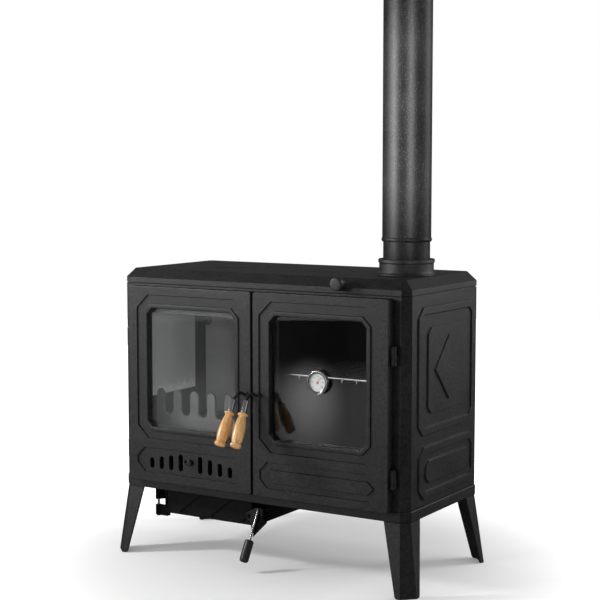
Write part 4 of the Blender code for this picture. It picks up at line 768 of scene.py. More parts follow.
@dataclass
class Turning:
    """Round piece whose outline is a run of (radius, level) pairs along its axis."""

    name: str
    outline: Sequence[Pair]
    segments: int = 96
    hollow: bool = False
    soften: float = 0.0
    corner: float = math.radians(32)

    def cut(self) -> bpy.types.Object:
        """Turns the piece round +Z at the origin.

        Returns:
            The object, closed, with its faces outwards.
        """
        (radius, level), *rest = self.outline
        Bench.clear()
        bpy.ops.mesh.primitive_circle_add(
            vertices=self.segments,
            radius=radius,
            fill_type="NOTHING" if self.hollow else "NGON",
            location=(0, 0, level),
        )
        obj = bpy.context.object
        obj.name = self.name
        bpy.ops.object.transform_apply(location=True, rotation=False, scale=False)
        bpy.ops.object.mode_set(mode="EDIT")
        bpy.ops.mesh.select_all(action="SELECT")
        steps = [*rest, self.outline[0]] if self.hollow else rest
        for next_radius, next_level in steps:
            bpy.ops.mesh.extrude_edges_move(TRANSFORM_OT_translate={"value": (0, 0, next_level - level)})
            share = next_radius / radius
            bpy.ops.transform.resize(value=(share, share, 1), center_override=(0, 0, next_level))
            radius, level = next_radius, next_level
        if not self.hollow:
            bpy.ops.mesh.edge_face_add()
        Bench.turn_outwards()
        if self.soften:
            corners = {"limit_method": "ANGLE", "angle_limit": self.corner}
            Bench.apply(obj, "BEVEL", width=self.soften, segments=2, **corners)
        return obj

    def placed(self, start: Point, way: Point) -> bpy.types.Object:
        """Makes the piece in its place.

        Args:
            start: Where its level zero lies.
            way: Direction of its axis.

        Returns:
            The object.
        """
        turn = Vector(way).to_track_quat("Z", "Y").to_matrix().to_4x4()
        obj = Bench.finish(self.cut(), Matrix.Translation(start) @ turn, 40.0)
        if self.soften:
            Bench.flatten(obj, 60)
        return obj


@dataclass
class BentBar:
    """Round bar along a smooth curve through a few points."""

    name: str
    path: Sequence[Point]
    radius: float
    around: int = 6
    along: int = 6
    swell: Sequence[float] = ()

    def bend(self) -> bpy.types.Object:
        """Bends the bar.

        Returns:
            The object, closed at both ends.
        """
        Bench.clear()
        bpy.ops.curve.primitive_bezier_curve_add()
        obj = bpy.context.object
        obj.name = self.name
        curve = obj.data
        curve.dimensions = "3D"
        points = curve.splines[0].bezier_points
        points.add(len(self.path) - len(points))
        for point, place in zip(points, self.path):
            point.co = place
            point.handle_left_type = point.handle_right_type = "AUTO"
        for point, share in zip(points, self.swell):
            point.radius = share
        curve.bevel_depth = self.radius
        curve.bevel_resolution = self.around
        curve.resolution_u = self.along
        curve.use_fill_caps = True
        bpy.ops.object.convert(target="MESH")
        Bench.edit_all(obj)
        Bench.turn_outwards()
        return Bench.finish(obj, None, 50.0)


@dataclass
class Plate:
    """Flat plate between a few corners."""

    name: str
    corners: Sequence[Point]
    thick: float
    edge: float

    def cut(self) -> bpy.types.Object:
        """Cuts the plate.

        Returns:
            The object, with broken edges.
        """
        Bench.clear()
        bpy.ops.mesh.primitive_circle_add(vertices=len(self.corners), fill_type="NGON")
        obj = bpy.context.object
        obj.name = self.name
        for vertex, corner in zip(obj.data.vertices, self.corners):
            vertex.co = corner
        Bench.apply(obj, "SOLIDIFY", thickness=self.thick, offset=0.0)
        Bench.edit_all(obj)
        bpy.ops.mesh.normals_make_consistent(inside=False)
        Bench.clear()
        Bench.apply(obj, "BEVEL", width=self.edge, segments=2)
        return Bench.finish(obj)


@dataclass
class Casting:
    """CAD node copied, cleaned of its triangles and given the round edges of a casting."""

    node: str
    edge: float
    segments: int = 2
    corner: float = math.radians(24)
    merge: float = 0.000002
    flat: float = math.radians(0.6)

    def pour(self, source: bpy.types.Object) -> bpy.types.Object:
        """Makes the piece from its CAD node.

        Args:
            source: The node's object.

        Returns:
            The new object, in the same place.
        """
        obj = bpy.data.objects.new(f"{self.node}_cast", source.data.copy())
        bpy.context.scene.collection.objects.link(obj)
        Bench.take(obj)
        bpy.ops.mesh.customdata_custom_splitnormals_clear()
        Bench.edit_all(obj)
        bpy.ops.mesh.remove_doubles(threshold=self.merge)
        bpy.ops.mesh.dissolve_limited(angle_limit=self.flat)
        Bench.clear()
        corners = {"limit_method": "ANGLE", "angle_limit": self.corner}
        Bench.apply(obj, "BEVEL", width=self.edge, segments=self.segments, use_clamp_overlap=True, **corners)
        Bench.finish(obj, None, 40.0)
        Bench.flatten(obj, 80)
        return obj


def smoothed(marks: Sequence[Pair], between: int) -> list[Pair]:
    """Outline with more points, on a curve that passes through each mark.

    Args:
        marks: The outline.
        between: Points added in each interval.

    Returns:
        The finer outline.
    """
    fine = []
    last = len(marks) - 1
    for index in range(last):
        before, start, end, after = (Vector(marks[max(0, min(last, index + step))]) for step in (-1, 0, 1, 2))
        for step in range(between + 1):
            t = step / (between + 1)
            square = (2 * before - 5 * start + 4 * end - after) * t**2
            cube = (3 * start - before - 3 * end + after) * t**3
            point = start + ((end - before) * t + (square + cube)) / 2
            fine.append((point.x, point.y))
    return [*fine, marks[-1]]


# Model


@dataclass
class Model:
    """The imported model, and what each of its nodes rides on and is made of."""

    frame: dict
    finishes: dict[str, bpy.types.Material] = field(default_factory=dict)

    def node(self, name: str) -> bpy.types.Object:
        """CAD node of this name."""
        return self.frame["nodes"][name]

    def slot_of(self, name: str) -> Slot:
        """Material slot of a CAD node."""
        parts = self.frame["record"]["subparts"]
        return Slot(next(part["material_slot"] for part in parts if part["node"] == name))

    def finish_of(self, name: str) -> str:
        """Name of a CAD node's finish: its own, or else its slot's."""
        return NODE_FINISHES.get(name) or SLOT_FINISHES[self.slot_of(name)]

    def middle(self, name: str) -> Vector:
        """Middle of a node's box."""
        low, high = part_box(name)
        return (low + high) / 2

    def paint(self, obj: bpy.types.Object, finish: str) -> None:
        """Gives all of an object one finish.

        Args:
            obj: The object.
            finish: Name of the finish.
        """
        if not obj.material_slots:
            obj.data.materials.append(self.finishes[finish])
        for slot in obj.material_slots:
            slot.material = self.finishes[finish]

    def dress(self) -> None:
        """Gives every CAD node its finish."""
        for name, obj in self.frame["nodes"].items():
            self.paint(obj, self.finish_of(name))

    def seat(self, obj: bpy.types.Object, finish: str, node: str) -> None:
        """Puts a piece in place of a CAD node and on its body, and paints it.

        Args:
            obj: The finished piece.
            finish: Name of its finish.
            node: The node that it stands for.
        """
        self.paint(obj, finish)
        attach(obj, self.node(node)["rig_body"])
        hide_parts(node)
        self.slot_of(node).value
        LOG.info("%s: %d faces, for %s", obj.name, len(obj.data.polygons), node)

    def add(self, obj: bpy.types.Object, finish: str, body: str, slot: Slot) -> None:
        """Adds a piece that no CAD node stands for.

        Args:
            obj: The finished piece.
            finish: Name of its finish.
            body: The body that it rides on.
            slot: Its material slot. Not used.
        """
        self.paint(obj, finish)
        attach(obj, body)
        LOG.info("%s: %d faces, on %s", obj.name, len(obj.data.polygons), body)


# Sub-assemblies


@dataclass
class Castings:
    """Iron pieces whose shape is right in the CAD and whose edges are rounded here."""

    model: Model
    edges: dict[str, float] = field(
        default_factory=lambda: {
            "base_plate": 0.0012,
            "front_frame": 0.0008,
            "side_panel_left": 0.0010,
            "side_panel_right": 0.0010,
            "back_panel": 0.0010,
            "top_plate": 0.0010,
            "leg_front_left": 0.0012,
            "leg_front_right": 0.0012,
            "leg_rear_left": 0.0012,
            "leg_rear_right": 0.0012,
            "firebox_door": 0.0010,
            "oven_door": 0.0010,
            "fire_guard": 0.0030,
            "firebox_grate": 0.0012,
            "firebox_partition": 0.0012,
            "firebox_liner_left": 0.0008,
            "firebox_liner_rear": 0.0008,
            "ash_box": 0.0010,
            "ash_door": 0.0008,
            "ash_lever": 0.0009,
        }
    )
    bevelled: tuple[str, ...] = ("fire_guard",)

    def build(self) -> None:
        """Pours every casting, rounded except where it is plainly bevelled."""
        for node, edge in self.edges.items():
            segments = 1 if node in self.bevelled else 2
            piece = Casting(node, edge, segments).pour(self.model.node(node))
            self.model.seat(piece, self.model.finish_of(node), node)


@dataclass
class LiningBolt:
    """Hexagonal bolt head that holds the rear lining, which shows through the firebox glass.

    The levels are those of an upper edge and of the flat face above it.
    """

    model: Model
    place: Pair = (-0.3822, 0.5765)
    across: float = 0.0085
    levels: Pair = (0.0058, 0.0066)
    crown: float = 0.86
    washer: float = 0.0120
    washer_levels: Pair = (0.0014, 0.0018)
    seat: float = 0.0002

    def build(self) -> None:
        """Makes the washer and then the head on it."""
        edge, top = self.washer_levels
        washer = [(self.washer, 0.0), (self.washer, edge), (self.across, top)]
        edge, top = self.levels
        head = [(self.across, 0.0), (self.across, edge), (self.across * self.crown, top)]
        x, z = self.place
        start = (x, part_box("firebox_liner_rear")[0].y + self.seat, z)
        for name, outline, sides in (("lining_washer", washer, 48), ("lining_bolt", head, 6)):
            piece = Turning(name, outline, sides).placed(start, Way.FRONT.value)
            self.model.add(piece, "fire_iron", "stove_body", Slot.STEEL)


@dataclass
class Hobs:
    """Rings and lids of the cooktop, turned smooth."""

    model: Model
    large: float = 0.133
    middle: float = 0.0925
    small: float = 0.0545
    lap: float = 0.007
    slip: float = 0.0008
    gap: float = 0.0014
    seat: float = 0.0003
    rim: float = 0.004
    thick: float = 0.0085
    soften: float = 0.0004
    slot: Point = (0.008, 0.024, 0.008)
    slot_reach: float = 0.45
    slot_rounding: float = 0.16

    def build(self) -> None:
        """Turns both sets."""
        for node, radius, inner in (
            ("hob_ring_outer", self.large, self.middle),
            ("hob_ring_inner", self.middle, self.small),
            ("hob_lid_left", self.small, None),
            ("hob_ring_right", self.middle, self.small),
            ("hob_lid_right", self.small, None),
        ):
            low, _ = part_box(node)
            centre = self.model.middle(node)
            outline = self.section(radius, inner)
            turning = Turning(f"{node}_turned", outline, 128, inner is not None, self.soften)
            piece = turning.placed((centre.x, centre.y, low.z), Way.UP.value)
            if inner is None:
                self.cut_slot(piece, centre, radius)
            self.model.seat(piece, "hob_iron", node)

    def section(self, radius: float, inner: float | None) -> list[Pair]:
        """Outline of a ring or a lid. Level zero is its underside.

        Args:
            radius: Its outer radius.
            inner: Radius of what lies in a ring, or None for a lid.

        Returns:
            The outline.
        """
        lap = self.thick - self.rim
        foot = radius - self.lap - self.slip
        ledge = lap + self.seat
        outer = [(foot, 0.0), (foot, ledge), (radius, ledge), (radius, self.thick)]
        if inner is None:
            return outer
        bore, lip = inner + self.gap, inner - self.lap
        return [*outer, (bore, self.thick), (bore, lap), (lip, lap), (lip, 0.0)]

    def cut_slot(self, piece: bpy.types.Object, centre: Vector, radius: float) -> None:
        """Cuts the lifter's slot into a lid.

        Args:
            piece: The lid.
            centre: Its middle.
            radius: Its outer radius.
        """
        _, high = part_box("hob_lid_left")
        x = centre.x + radius * self.slot_reach
        Bench.clear()
        bpy.ops.mesh.primitive_cube_add(size=1.0, location=(x, centre.y, high.z))
        cutter = bpy.context.object
        cutter.scale = self.slot
        Bench.apply(cutter, "BEVEL", width=self.slot_rounding, segments=3, affect="EDGES")
        Bench.apply(piece, "BOOLEAN", operation="DIFFERENCE", object=cutter, solver="EXACT")
        bpy.data.objects.remove(cutter)
        Bench.shade(piece, 32.0)


@dataclass
class Flue:
    """Pipe, stub and collar, turned smooth."""

    model: Model
    pipe_radius: float = 0.0593
    wall: float = 0.0020
    bead_proud: float = 0.0018
    bead_high: float = 0.010
    bead_steps: int = 8
    stub_radius: float = 0.0568
    collar_radius: float = 0.0662
    collar_flare: float = 0.0040
    collar_rim: float = 0.0022
    collar_seat: float = 0.010
    collar_slip: float = 0.0004
    collar_lip: float = 0.003
    soften: float = 0.0003

    def build(self) -> None:
        """Turns the three pieces round the flue's middle."""
        middle = self.model.middle("flue_pipe")
        for node, section, finish in (
            ("flue_pipe", self.pipe(), "flue_paint"),
            ("flue_stub", self.stub(), "flue_paint"),
            ("flue_collar", self.collar(), "cast_iron"),
        ):
            low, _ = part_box(node)
            turning = Turning(f"{node}_turned", section, 144, True, self.soften)
            piece = turning.placed((middle.x, middle.y, low.z), Way.UP.value)
            self.model.seat(piece, finish, node)

    def height(self, node: str) -> float:
        """Height of a node's box."""
        low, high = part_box(node)
        return high.z - low.z

    def pipe(self) -> list[Pair]:
        """Outline of the pipe with the bead at its foot.

        Returns:
            The outline.
        """
        outer, top = self.pipe_radius, self.height("flue_pipe")
        inner = outer - self.wall
        bead = []
        for step in range(1, self.bead_steps):
            swell = math.sin(math.pi * step / self.bead_steps) ** 0.8
            bead.append((outer + self.bead_proud * swell, self.bead_high * step / self.bead_steps))
        return [(outer, 0.0), *bead, (outer, self.bead_high), (outer, top), (inner, top), (inner, 0.0)]

    def stub(self) -> list[Pair]:
        """Outline of the stub inside the pipe.

        Returns:
            The outline.
        """
        outer, top = self.stub_radius, self.height("flue_stub")
        inner = outer - self.wall
        return [(outer, 0.0), (outer, top), (inner, top), (inner, 0.0)]

    def collar(self) -> list[Pair]:
        """Outline of the cast collar: flared foot, plain neck, rim, and a bore that seats the stub.

        Returns:
            The outline.
        """
        outer, top = self.collar_radius, self.height("flue_collar")
        foot, rim = outer + self.collar_flare, outer + self.collar_rim
        bore, lip = self.stub_radius + self.collar_slip, self.stub_radius - self.collar_lip
        return [
            (foot, 0.0),
            (foot, 0.0025),
            (foot - 0.0016, 0.0044),
            (outer + 0.0008, 0.0068),
            (outer, 0.0095),
            (outer, top - 0.0112),
            (outer + 0.0006, top - 0.0094),
            (rim, top - 0.0080),
            (rim, top - 0.0012),
            (rim - 0.0012, top),
            (bore, top),
            (bore, self.collar_seat),
            (lip, self.collar_seat),
            (lip, 0.0),
        ]


@dataclass
class DoorHandle:
    """Bent arm, chromed ferrule and turned grip of one door, hung from its pivot.

    The arm's route and swell go from the door outwards. The grip's marks are (radius, share of its
    length) from its top.
    """

    model: Model
    door: str
    side: int
    swing: float
    pivot: Point = (0.0175, -0.1574, 0.448)
    tilt: float = math.radians(30)
    hook_end: Point = (0.0, -0.0505, -0.0055)
    rod: float = 0.0032
    route: tuple[Pair, ...] = (
        (0.0167, 0.0),
        (0.0040, 0.0),
        (-0.0040, 0.0003),
        (-0.0080, 0.0018),
        (-0.0130, 0.0044),
        (-0.0200, 0.0068),
        (-0.0290, 0.0066),
        (-0.0380, 0.0036),
        (-0.0450, -0.0006),
    )
    tail: tuple[float, ...] = (0.0, 0.005, 0.0118)
    swell: tuple[float, ...] = (1.0, 1.0, 1.0, 1.1, 1.25, 1.3, 1.3, 1.25, 1.15, 1.0, 1.0, 1.0)
    ferrule_radius: float = 0.0067
    ferrule_length: float = 0.033
    ferrule_soften: float = 0.0002
    groove: float = 0.0004
    seat: float = 0.0003
    grip_length: float = 0.086
    grip: tuple[Pair, ...] = (
        (0.0092, 0.0),
        (0.0116, 0.012),
        (0.0122, 0.036),
        (0.0113, 0.061),
        (0.0090, 0.075),
        (0.0090, 0.094),
        (0.0113, 0.21),
        (0.0136, 0.36),
        (0.0146, 0.51),
        (0.0144, 0.64),
        (0.0132, 0.77),
        (0.0117, 0.855),
        (0.0114, 0.88),
        (0.0131, 0.90),
        (0.0138, 0.933),
        (0.0130, 0.974),
        (0.0095, 1.0),
    )

    @property
    def wood(self) -> str:
        """Name of this grip's finish."""
        return f"{self.door}_beech"

    def hang(self) -> Matrix:
        """Matrix from the handle's own frame, with its pivot at the origin, to its place."""
        x, y, z = self.pivot
        return Matrix.Translation((self.side * x, y, z)) @ Matrix.Rotation(-self.side * self.swing, 4, "Y")

    def down(self) -> Vector:
        """Direction in which the grip hangs, in the handle's own frame."""
        return Vector((0, -math.sin(self.tilt), -math.cos(self.tilt)))

    def grain_turn(self) -> Point:
        """Angles that carry the grip's axis to Z, for the wood's grain."""
        axis = self.hang().to_3x3() @ self.down()
        return tuple(axis.rotation_difference(Vector((0, 0, 1))).to_euler())

    def build(self) -> None:
        """Makes the arm, the ferrule and the grip."""
        hang, down = self.hang(), self.down()
        start = Vector(self.hook_end)
        path = [hang @ Vector((0, y, z)) for y, z in self.route]
        path += [hang @ (start + down * step) for step in self.tail]
        arm = BentBar(f"{self.door}_arm_bent", path, self.rod, 7, 6, self.swell).bend()
        self.model.seat(arm, "black_enamel", f"{self.door}_handle_arm")
        way = tuple(hang.to_3x3() @ down)
        tube = Turning(f"{self.door}_ferrule_turned", self.ferrule_section(), 64, True, self.ferrule_soften)
        ferrule = tube.placed(tuple(hang @ start), way)
        self.model.seat(ferrule, "chrome", f"{self.door}_handle_ferrule")
        top = hang @ (start + down * (self.ferrule_length + self.seat))
        outline = [(radius, self.grip_length * share) for radius, share in smoothed(self.grip, 3)]
        grip = Turning(f"{self.door}_grip_turned", outline, 64).placed(tuple(top), way)
        self.model.seat(grip, self.wood, f"{self.door}_handle_grip")

    def ferrule_section(self) -> list[Pair]:
        """Outline of the tube with a groove near its foot. It closes below the arm's end.

        Returns:
            The outline.
        """
        radius, length = self.ferrule_radius, self.ferrule_length
        bore = self.rod + 0.0004
        return [
            (radius, length),
            (radius, length - 0.0020),
            (radius - self.groove, length - 0.0026),
            (radius - self.groove, length - 0.0034),
            (radius, length - 0.0040),
            (radius, 0.0012),
            (radius - 0.0010, 0.0),
            (bore, 0.0),
            (bore, 0.0128),
            (0.0004, 0.0130),
            (0.0004, length),
        ]


@dataclass
class Thermometer:
    """Dial thermometer on the oven glass: case with its bezel, face, printed scale, needle and lens."""

    model: Model
    dial: float = 0.0216
    bezel: float = 0.0290
    deep: float = 0.0125
    stem: float = 0.0045
    nut: float = 0.0085
    lens_depth: float = 0.0032
    sweep: float = math.radians(130)
    numbers: tuple[int, ...] = (0, 50, 100, 150, 200, 250, 300)
    number_height: float = 0.0040
    number_inset: float = 0.0066
    number_bold: float = 0.00006
    ticks: int = 31
    ticks_per_number: int = 5
    long_tick: Pair = (0.00042, 0.0028)
    short_tick: Pair = (0.00026, 0.0016)
    tick_inset: float = 0.0012
    print_depth: float = 0.00006
    needle_rest: float = math.radians(24)
    hub: float = 0.0026
    tip: float = 0.0150
    tip_narrowing: float = 0.8
    tail: float = 0.0075
    tail_widening: float = 2.6

    def build(self) -> None:
        """Makes all of it on the oven door."""
        centre = self.model.middle("thermometer_dial")
        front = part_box("thermometer_case")[0].y
        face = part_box("thermometer_dial")[0].y
        glass_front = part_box("oven_glass")[0].y
        case = Turning("thermometer_case_turned", self.case_section(), 96, False, 0.0002)
        self.model.seat(self.facing(case, centre, glass_front - 0.0003), "chrome", "thermometer_case")
        plain = [(self.dial, 0.0), (self.dial, 0.0008), (self.dial - 0.0002, 0.001)]
        disc = self.facing(Turning("thermometer_face", plain), centre, face + 0.001)
        self.model.seat(disc, "dial_white", "thermometer_dial")
        self.model.add(self.scale(centre, face), "print_black", "oven_door", Slot.DIAL)
        self.model.seat(self.needle(centre), "needle_red", "thermometer_needle")
        rim = self.dial + 0.0001
        dome = [(rim, 0.0), (rim, 0.0008), (self.dial * 0.7, 0.0012), (0.001, 0.0014)]
        lens = self.facing(Turning("thermometer_lens", dome), centre, front + self.lens_depth)
        self.model.add(lens, "lens_glass", "oven_door", Slot.GLASS)

    @staticmethod
    def facing(turning: Turning, centre: Vector, y: float) -> bpy.types.Object:
        """Turned piece that faces the front, with its level zero at this depth."""
        return turning.placed((centre.x, y, centre.z), Way.FRONT.value)

    def case_section(self) -> list[Pair]:
        """Outline of the cup from the stem behind the glass, round the bezel, to the floor under the dial.

        Returns:
            The outline.
        """
        deep, rim = self.deep, self.bezel
        return [
            (self.stem, -0.0165),
            (self.stem, -0.0085),
            (self.nut, -0.0085),
            (self.nut, -0.0046),
            (self.stem, -0.0046),
            (self.stem, 0.0),
            (rim - 0.0022, 0.0),
            (rim - 0.0022, deep - 0.0070),
            (rim - 0.0004, deep - 0.0058),
            (rim, deep - 0.0042),
            (rim, deep - 0.0018),
            (rim - 0.0006, deep - 0.0006),
            (rim - 0.0016, deep),
            (rim - 0.0032, deep - 0.0001),
            (self.dial + 0.0014, deep - 0.0024),
            (self.dial + 0.0004, deep - 0.0026),
            (self.dial + 0.0003, 0.0065),
            (0.0010, 0.0064),
        ]

    def scale(self, centre: Vector, face: float) -> bpy.types.Object:
        """Prints ticks and numbers on the face.

        Args:
            centre: Middle of the dial.
            face: Its front plane.

        Returns:
            One object with all the marks.
        """
        marks = [self.tick(step) for step in range(self.ticks)]
        marks += [self.number(index) for index in range(len(self.numbers))]
        for obj in marks:
            stand = Matrix.Rotation(math.pi / 2, 4, "X")
            obj.data.transform(Matrix.Translation((centre.x, face, centre.z)) @ stand)
        Bench.clear()
        for obj in marks:
            obj.select_set(True)
        bpy.context.view_layer.objects.active = marks[0]
        bpy.ops.object.join()
        joined = bpy.context.object
        joined.name = "thermometer_scale"
        return joined

    def tick(self, step: int) -> bpy.types.Object:
        """Makes one tick, flat in XY with up along +Y. Those beside the numbers are longer.

        Args:
            step: Its count from the scale's start.

        Returns:
            The object.
        """
        width, length = self.short_tick if step % self.ticks_per_number else self.long_tick
        angle = -self.sweep + 2 * self.sweep * step / (self.ticks - 1)
        Bench.clear()
        bpy.ops.mesh.primitive_plane_add(size=1.0)
        obj = bpy.context.object
        bpy.ops.object.mode_set(mode="EDIT")
        bpy.ops.mesh.extrude_region_move(TRANSFORM_OT_translate={"value": (0, 0, 1)})
        bpy.ops.mesh.select_all(action="SELECT")
        bpy.ops.mesh.normals_make_consistent(inside=False)
        Bench.clear()
        out = Matrix.Translation((0, self.dial - self.tick_inset - length / 2, 0))
        size = Matrix.Diagonal((width, length, self.print_depth, 1))
        obj.data.transform(Matrix.Rotation(-angle, 4, "Z") @ out @ size)
        return obj

    def number(self, index: int) -> bpy.types.Object:
        """Makes one upright number beside its tick, flat in XY with up along +Y.

        Args:
            index: Its count from the scale's start.

        Returns:
            The object.
        """
        angle = -self.sweep + 2 * self.sweep * index / (len(self.numbers) - 1)
        Bench.clear()
        bpy.ops.object.text_add()
        obj = bpy.context.object
        obj.data.body = str(self.numbers[index])
        obj.data.size = self.number_height
        obj.data.align_x = "CENTER"
        obj.data.align_y = "CENTER"
        obj.data.extrude = self.print_depth / 2
        obj.data.offset = self.number_bold
        bpy.ops.object.convert(target="MESH")
        reach = self.dial - self.number_inset
        place = (math.sin(angle) * reach, math.cos(angle) * reach, self.print_depth / 2)
        obj.data.transform(Matrix.Translation(place))
        return obj

    def needle(self, centre: Vector) -> bpy.types.Object:
        """Makes the pointer with its hub, turned clockwise to its rest.

        Args:
            centre: Middle of the dial.

        Returns:
            The object.
        """
        low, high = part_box("thermometer_needle")
        Bench.clear()
        bpy.ops.mesh.primitive_cylinder_add(vertices=32, radius=self.hub, depth=high.y - low.y)
        obj = bpy.context.object
        obj.name = "thermometer_pointer"
        bpy.ops.object.mode_set(mode="EDIT")
        bpy.ops.mesh.select_all(action="DESELECT")
        bpy.ops.object.mode_set(mode="OBJECT")
        for face in obj.data.polygons:
            face.select = abs(face.normal.z) < 0.1 and abs(face.normal.x) < 0.15
        bpy.ops.object.mode_set(mode="EDIT")
        bpy.ops.mesh.extrude_faces_move(TRANSFORM_OT_shrink_fatten={"value": -0.0001})
        Bench.clear()
        for vertex in obj.data.vertices:
            near_axis = abs(vertex.co.x) < 0.0005
            if near_axis and vertex.co.y > self.hub:
                vertex.co.y = self.tip
                vertex.co.x *= self.tip_narrowing
            elif near_axis and vertex.co.y < -self.hub:
                vertex.co.y = -self.tail
                vertex.co.x *= self.tail_widening
        place = Matrix.Translation((centre.x, (low.y + high.y) / 2, centre.z))
        rest = Matrix.Rotation(self.needle_rest, 4, "Y")
        return Bench.finish(obj, place @ rest @ Matrix.Rotation(math.pi / 2, 4, "X"), 30.0)


@dataclass
class DamperKnob:
    """Domed knob on the damper's rod, in front of the top plate."""

    model: Model
    radius: float = 0.0168
    rod: float = 0.0034

    def build(self) -> None:
        """Turns the knob from its box's back to its front."""
        low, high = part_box("damper_knob")
        centre = self.model.middle("damper_knob")
        length, radius = high.y - low.y, self.radius
        section = [
            (self.rod, 0.0),
            (radius - 0.0034, 0.0),
            (radius - 0.0012, 0.0010),
            (radius, 0.0034),
            (radius, length - 0.0040),
            (radius - 0.0007, length - 0.0018),
            (radius - 0.0024, length - 0.0005),
            (radius - 0.0050, length),
            (0.0030, length),
        ]
        turning = Turning("damper_knob_turned", section, 64)
        knob = turning.placed((centre.x, high.y, centre.z), Way.FRONT.value)
        self.model.seat(knob, "bakelite", "damper_knob")


@dataclass
class AirKnob:
    """Button of the air slide on its stem."""

    model: Model
    stem: float = 0.0030
    head: float = 0.0080
    radius: float = 0.0080
    shoulder: float = 0.0072
    crown: float = 0.0058

    def build(self) -> None:
        """Turns the stem and the button in one piece."""
        low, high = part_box("air_slide_knob")
        centre = self.model.middle("air_slide_knob")
        length = high.y - low.y
        section = [
            (self.stem, 0.0),
            (self.stem, length - self.head),
            (self.shoulder, length - self.head),
            (self.radius, length - 0.0072),
            (self.radius, length - 0.0018),
            (self.shoulder, length - 0.0005),
            (self.crown, length),
        ]
        knob = Turning("air_knob_turned", section, 48).placed((centre.x, high.y, centre.z), Way.FRONT.value)
        self.model.seat(knob, "black_enamel", "air_slide_knob")


@dataclass
class AshLever:
    """Rod of the ash door's lever with its long knob, and the web that stiffens the lever.

    The rod's bends are measured from a place that lies forward of the lever's pivot.
    """

    model: Model
    pivot: Point = (-0.0555, -0.0902, 0.128)
    forward: float = 0.0035
    bends: tuple[Point, ...] = (
        (0.0320, 0.0, 0.0226),
        (0.0312, 0.0, 0.0165),
        (0.0307, -0.0014, 0.0115),
    )
    elbow: Point = (0.0306, -0.0016, 0.0110)
    tip: Point = (-0.0280, -0.1254, 0.0760)
    lean: Pair = (-0.028, -0.047)
    rod: float = 0.0030
    rod_in_knob: float = 0.0118
    knob_radius: float = 0.0115
    knob_length: float = 0.056
    web: tuple[Point, ...] = (
        (-0.0290, -0.0925, 0.1400),
        (0.0010, -0.0900, 0.1170),
        (-0.0245, -0.1165, 0.0822),
    )
    web_thick: float = 0.0020
    web_edge: float = 0.0006

    def build(self) -> None:
        """Makes the rod, the web and the knob."""
        tip, out = Vector(self.tip), Vector((0.0, *self.lean)).normalized()
        path = [self.from_pivot(bend) for bend in self.bends]
        path.append(tuple(tip.lerp(Vector(self.from_pivot(self.elbow)), 0.5)))
        path += [tuple(tip), tuple(tip + out * self.rod_in_knob)]
        rod = BentBar("ash_rod_bent", path, self.rod).bend()
        self.model.seat(rod, "bright_steel", "ash_lever_rod")
        web = Plate("ash_lever_web", self.web, self.web_thick, self.web_edge).cut()
        # The web takes the darker iron that paints the shade under the base plate.
        self.model.add(web, "ash_iron", "ash_lever", Slot.IRON)
        knob = Turning("ash_knob_turned", self.knob_section(), 64).placed(tuple(tip), tuple(out))
        self.model.seat(knob, "bakelite", "ash_lever_knob")

    def from_pivot(self, bend: Point) -> Point:
        """Place of one of the rod's bends."""
        x, y, z = Vector(self.pivot)
        return x + bend[0], y - self.forward + bend[1], z + bend[2]

    def knob_section(self) -> list[Pair]:
        """Outline of the long knob, rounded at both ends.

        Returns:
            The outline.
        """
        radius, length = self.knob_radius, self.knob_length
        return [
            (0.0034, 0.0),
            (radius - 0.0040, 0.0),
            (radius - 0.0016, 0.0008),
            (radius - 0.0003, 0.0026),
            (radius, 0.0050),
            (radius, length - 0.0070),
            (radius - 0.0006, length - 0.0036),
            (radius - 0.0022, length - 0.0012),
            (radius - 0.0050, length),
            (0.0020, length),
        ]


# Studio


def aim(data: bpy.types.Light, place: Point, target: Point) -> None:
    """Hangs a lamp and turns it to its target.

    Args:
        data: The lamp's data.
        place: Where it hangs.
        target: Where it points.
    """
    obj = bpy.data.objects.new(data.name, data)
    obj.location = place
    obj.rotation_euler = (Vector(target) - Vector(place)).to_track_quat("-Z", "Y").to_euler()
    bpy.context.scene.collection.objects.link(obj)


@dataclass(frozen=True)
class SoftLamp:
    """Rectangular lamp that faces the middle of the stove."""

    name: str
    place: Point
    size: Pair
    power: float
    target: Point = (0.0, 0.0, 0.45)

    def hang(self) -> None:
        """Adds the lamp."""
        data = bpy.data.lights.new(self.name, "AREA")
        data.shape = "RECTANGLE"
        data.size, data.size_y = self.size
        data.energy = self.power
        aim(data, self.place, self.target)


@dataclass(frozen=True)
class NarrowLamp:
    """Lamp that reaches only its target. The angle of its cone is in degrees."""

    name: str
    place: Point
    target: Point
    angle: float
    power: float
    blend: float = 0.25
    softness: float = 0.12

    def hang(self) -> None:
        """Adds the lamp."""
        data = bpy.data.lights.new(self.name, "SPOT")
        data.energy = self.power
        data.spot_size = math.radians(self.angle)
        data.spot_blend = self.blend
        data.shadow_soft_size = self.softness
        aim(data, self.place, self.target)


PIPE: Point = (0.316, 0.047, 1.13)
FIREBOX: Point = (-0.31, -0.02, 0.545)


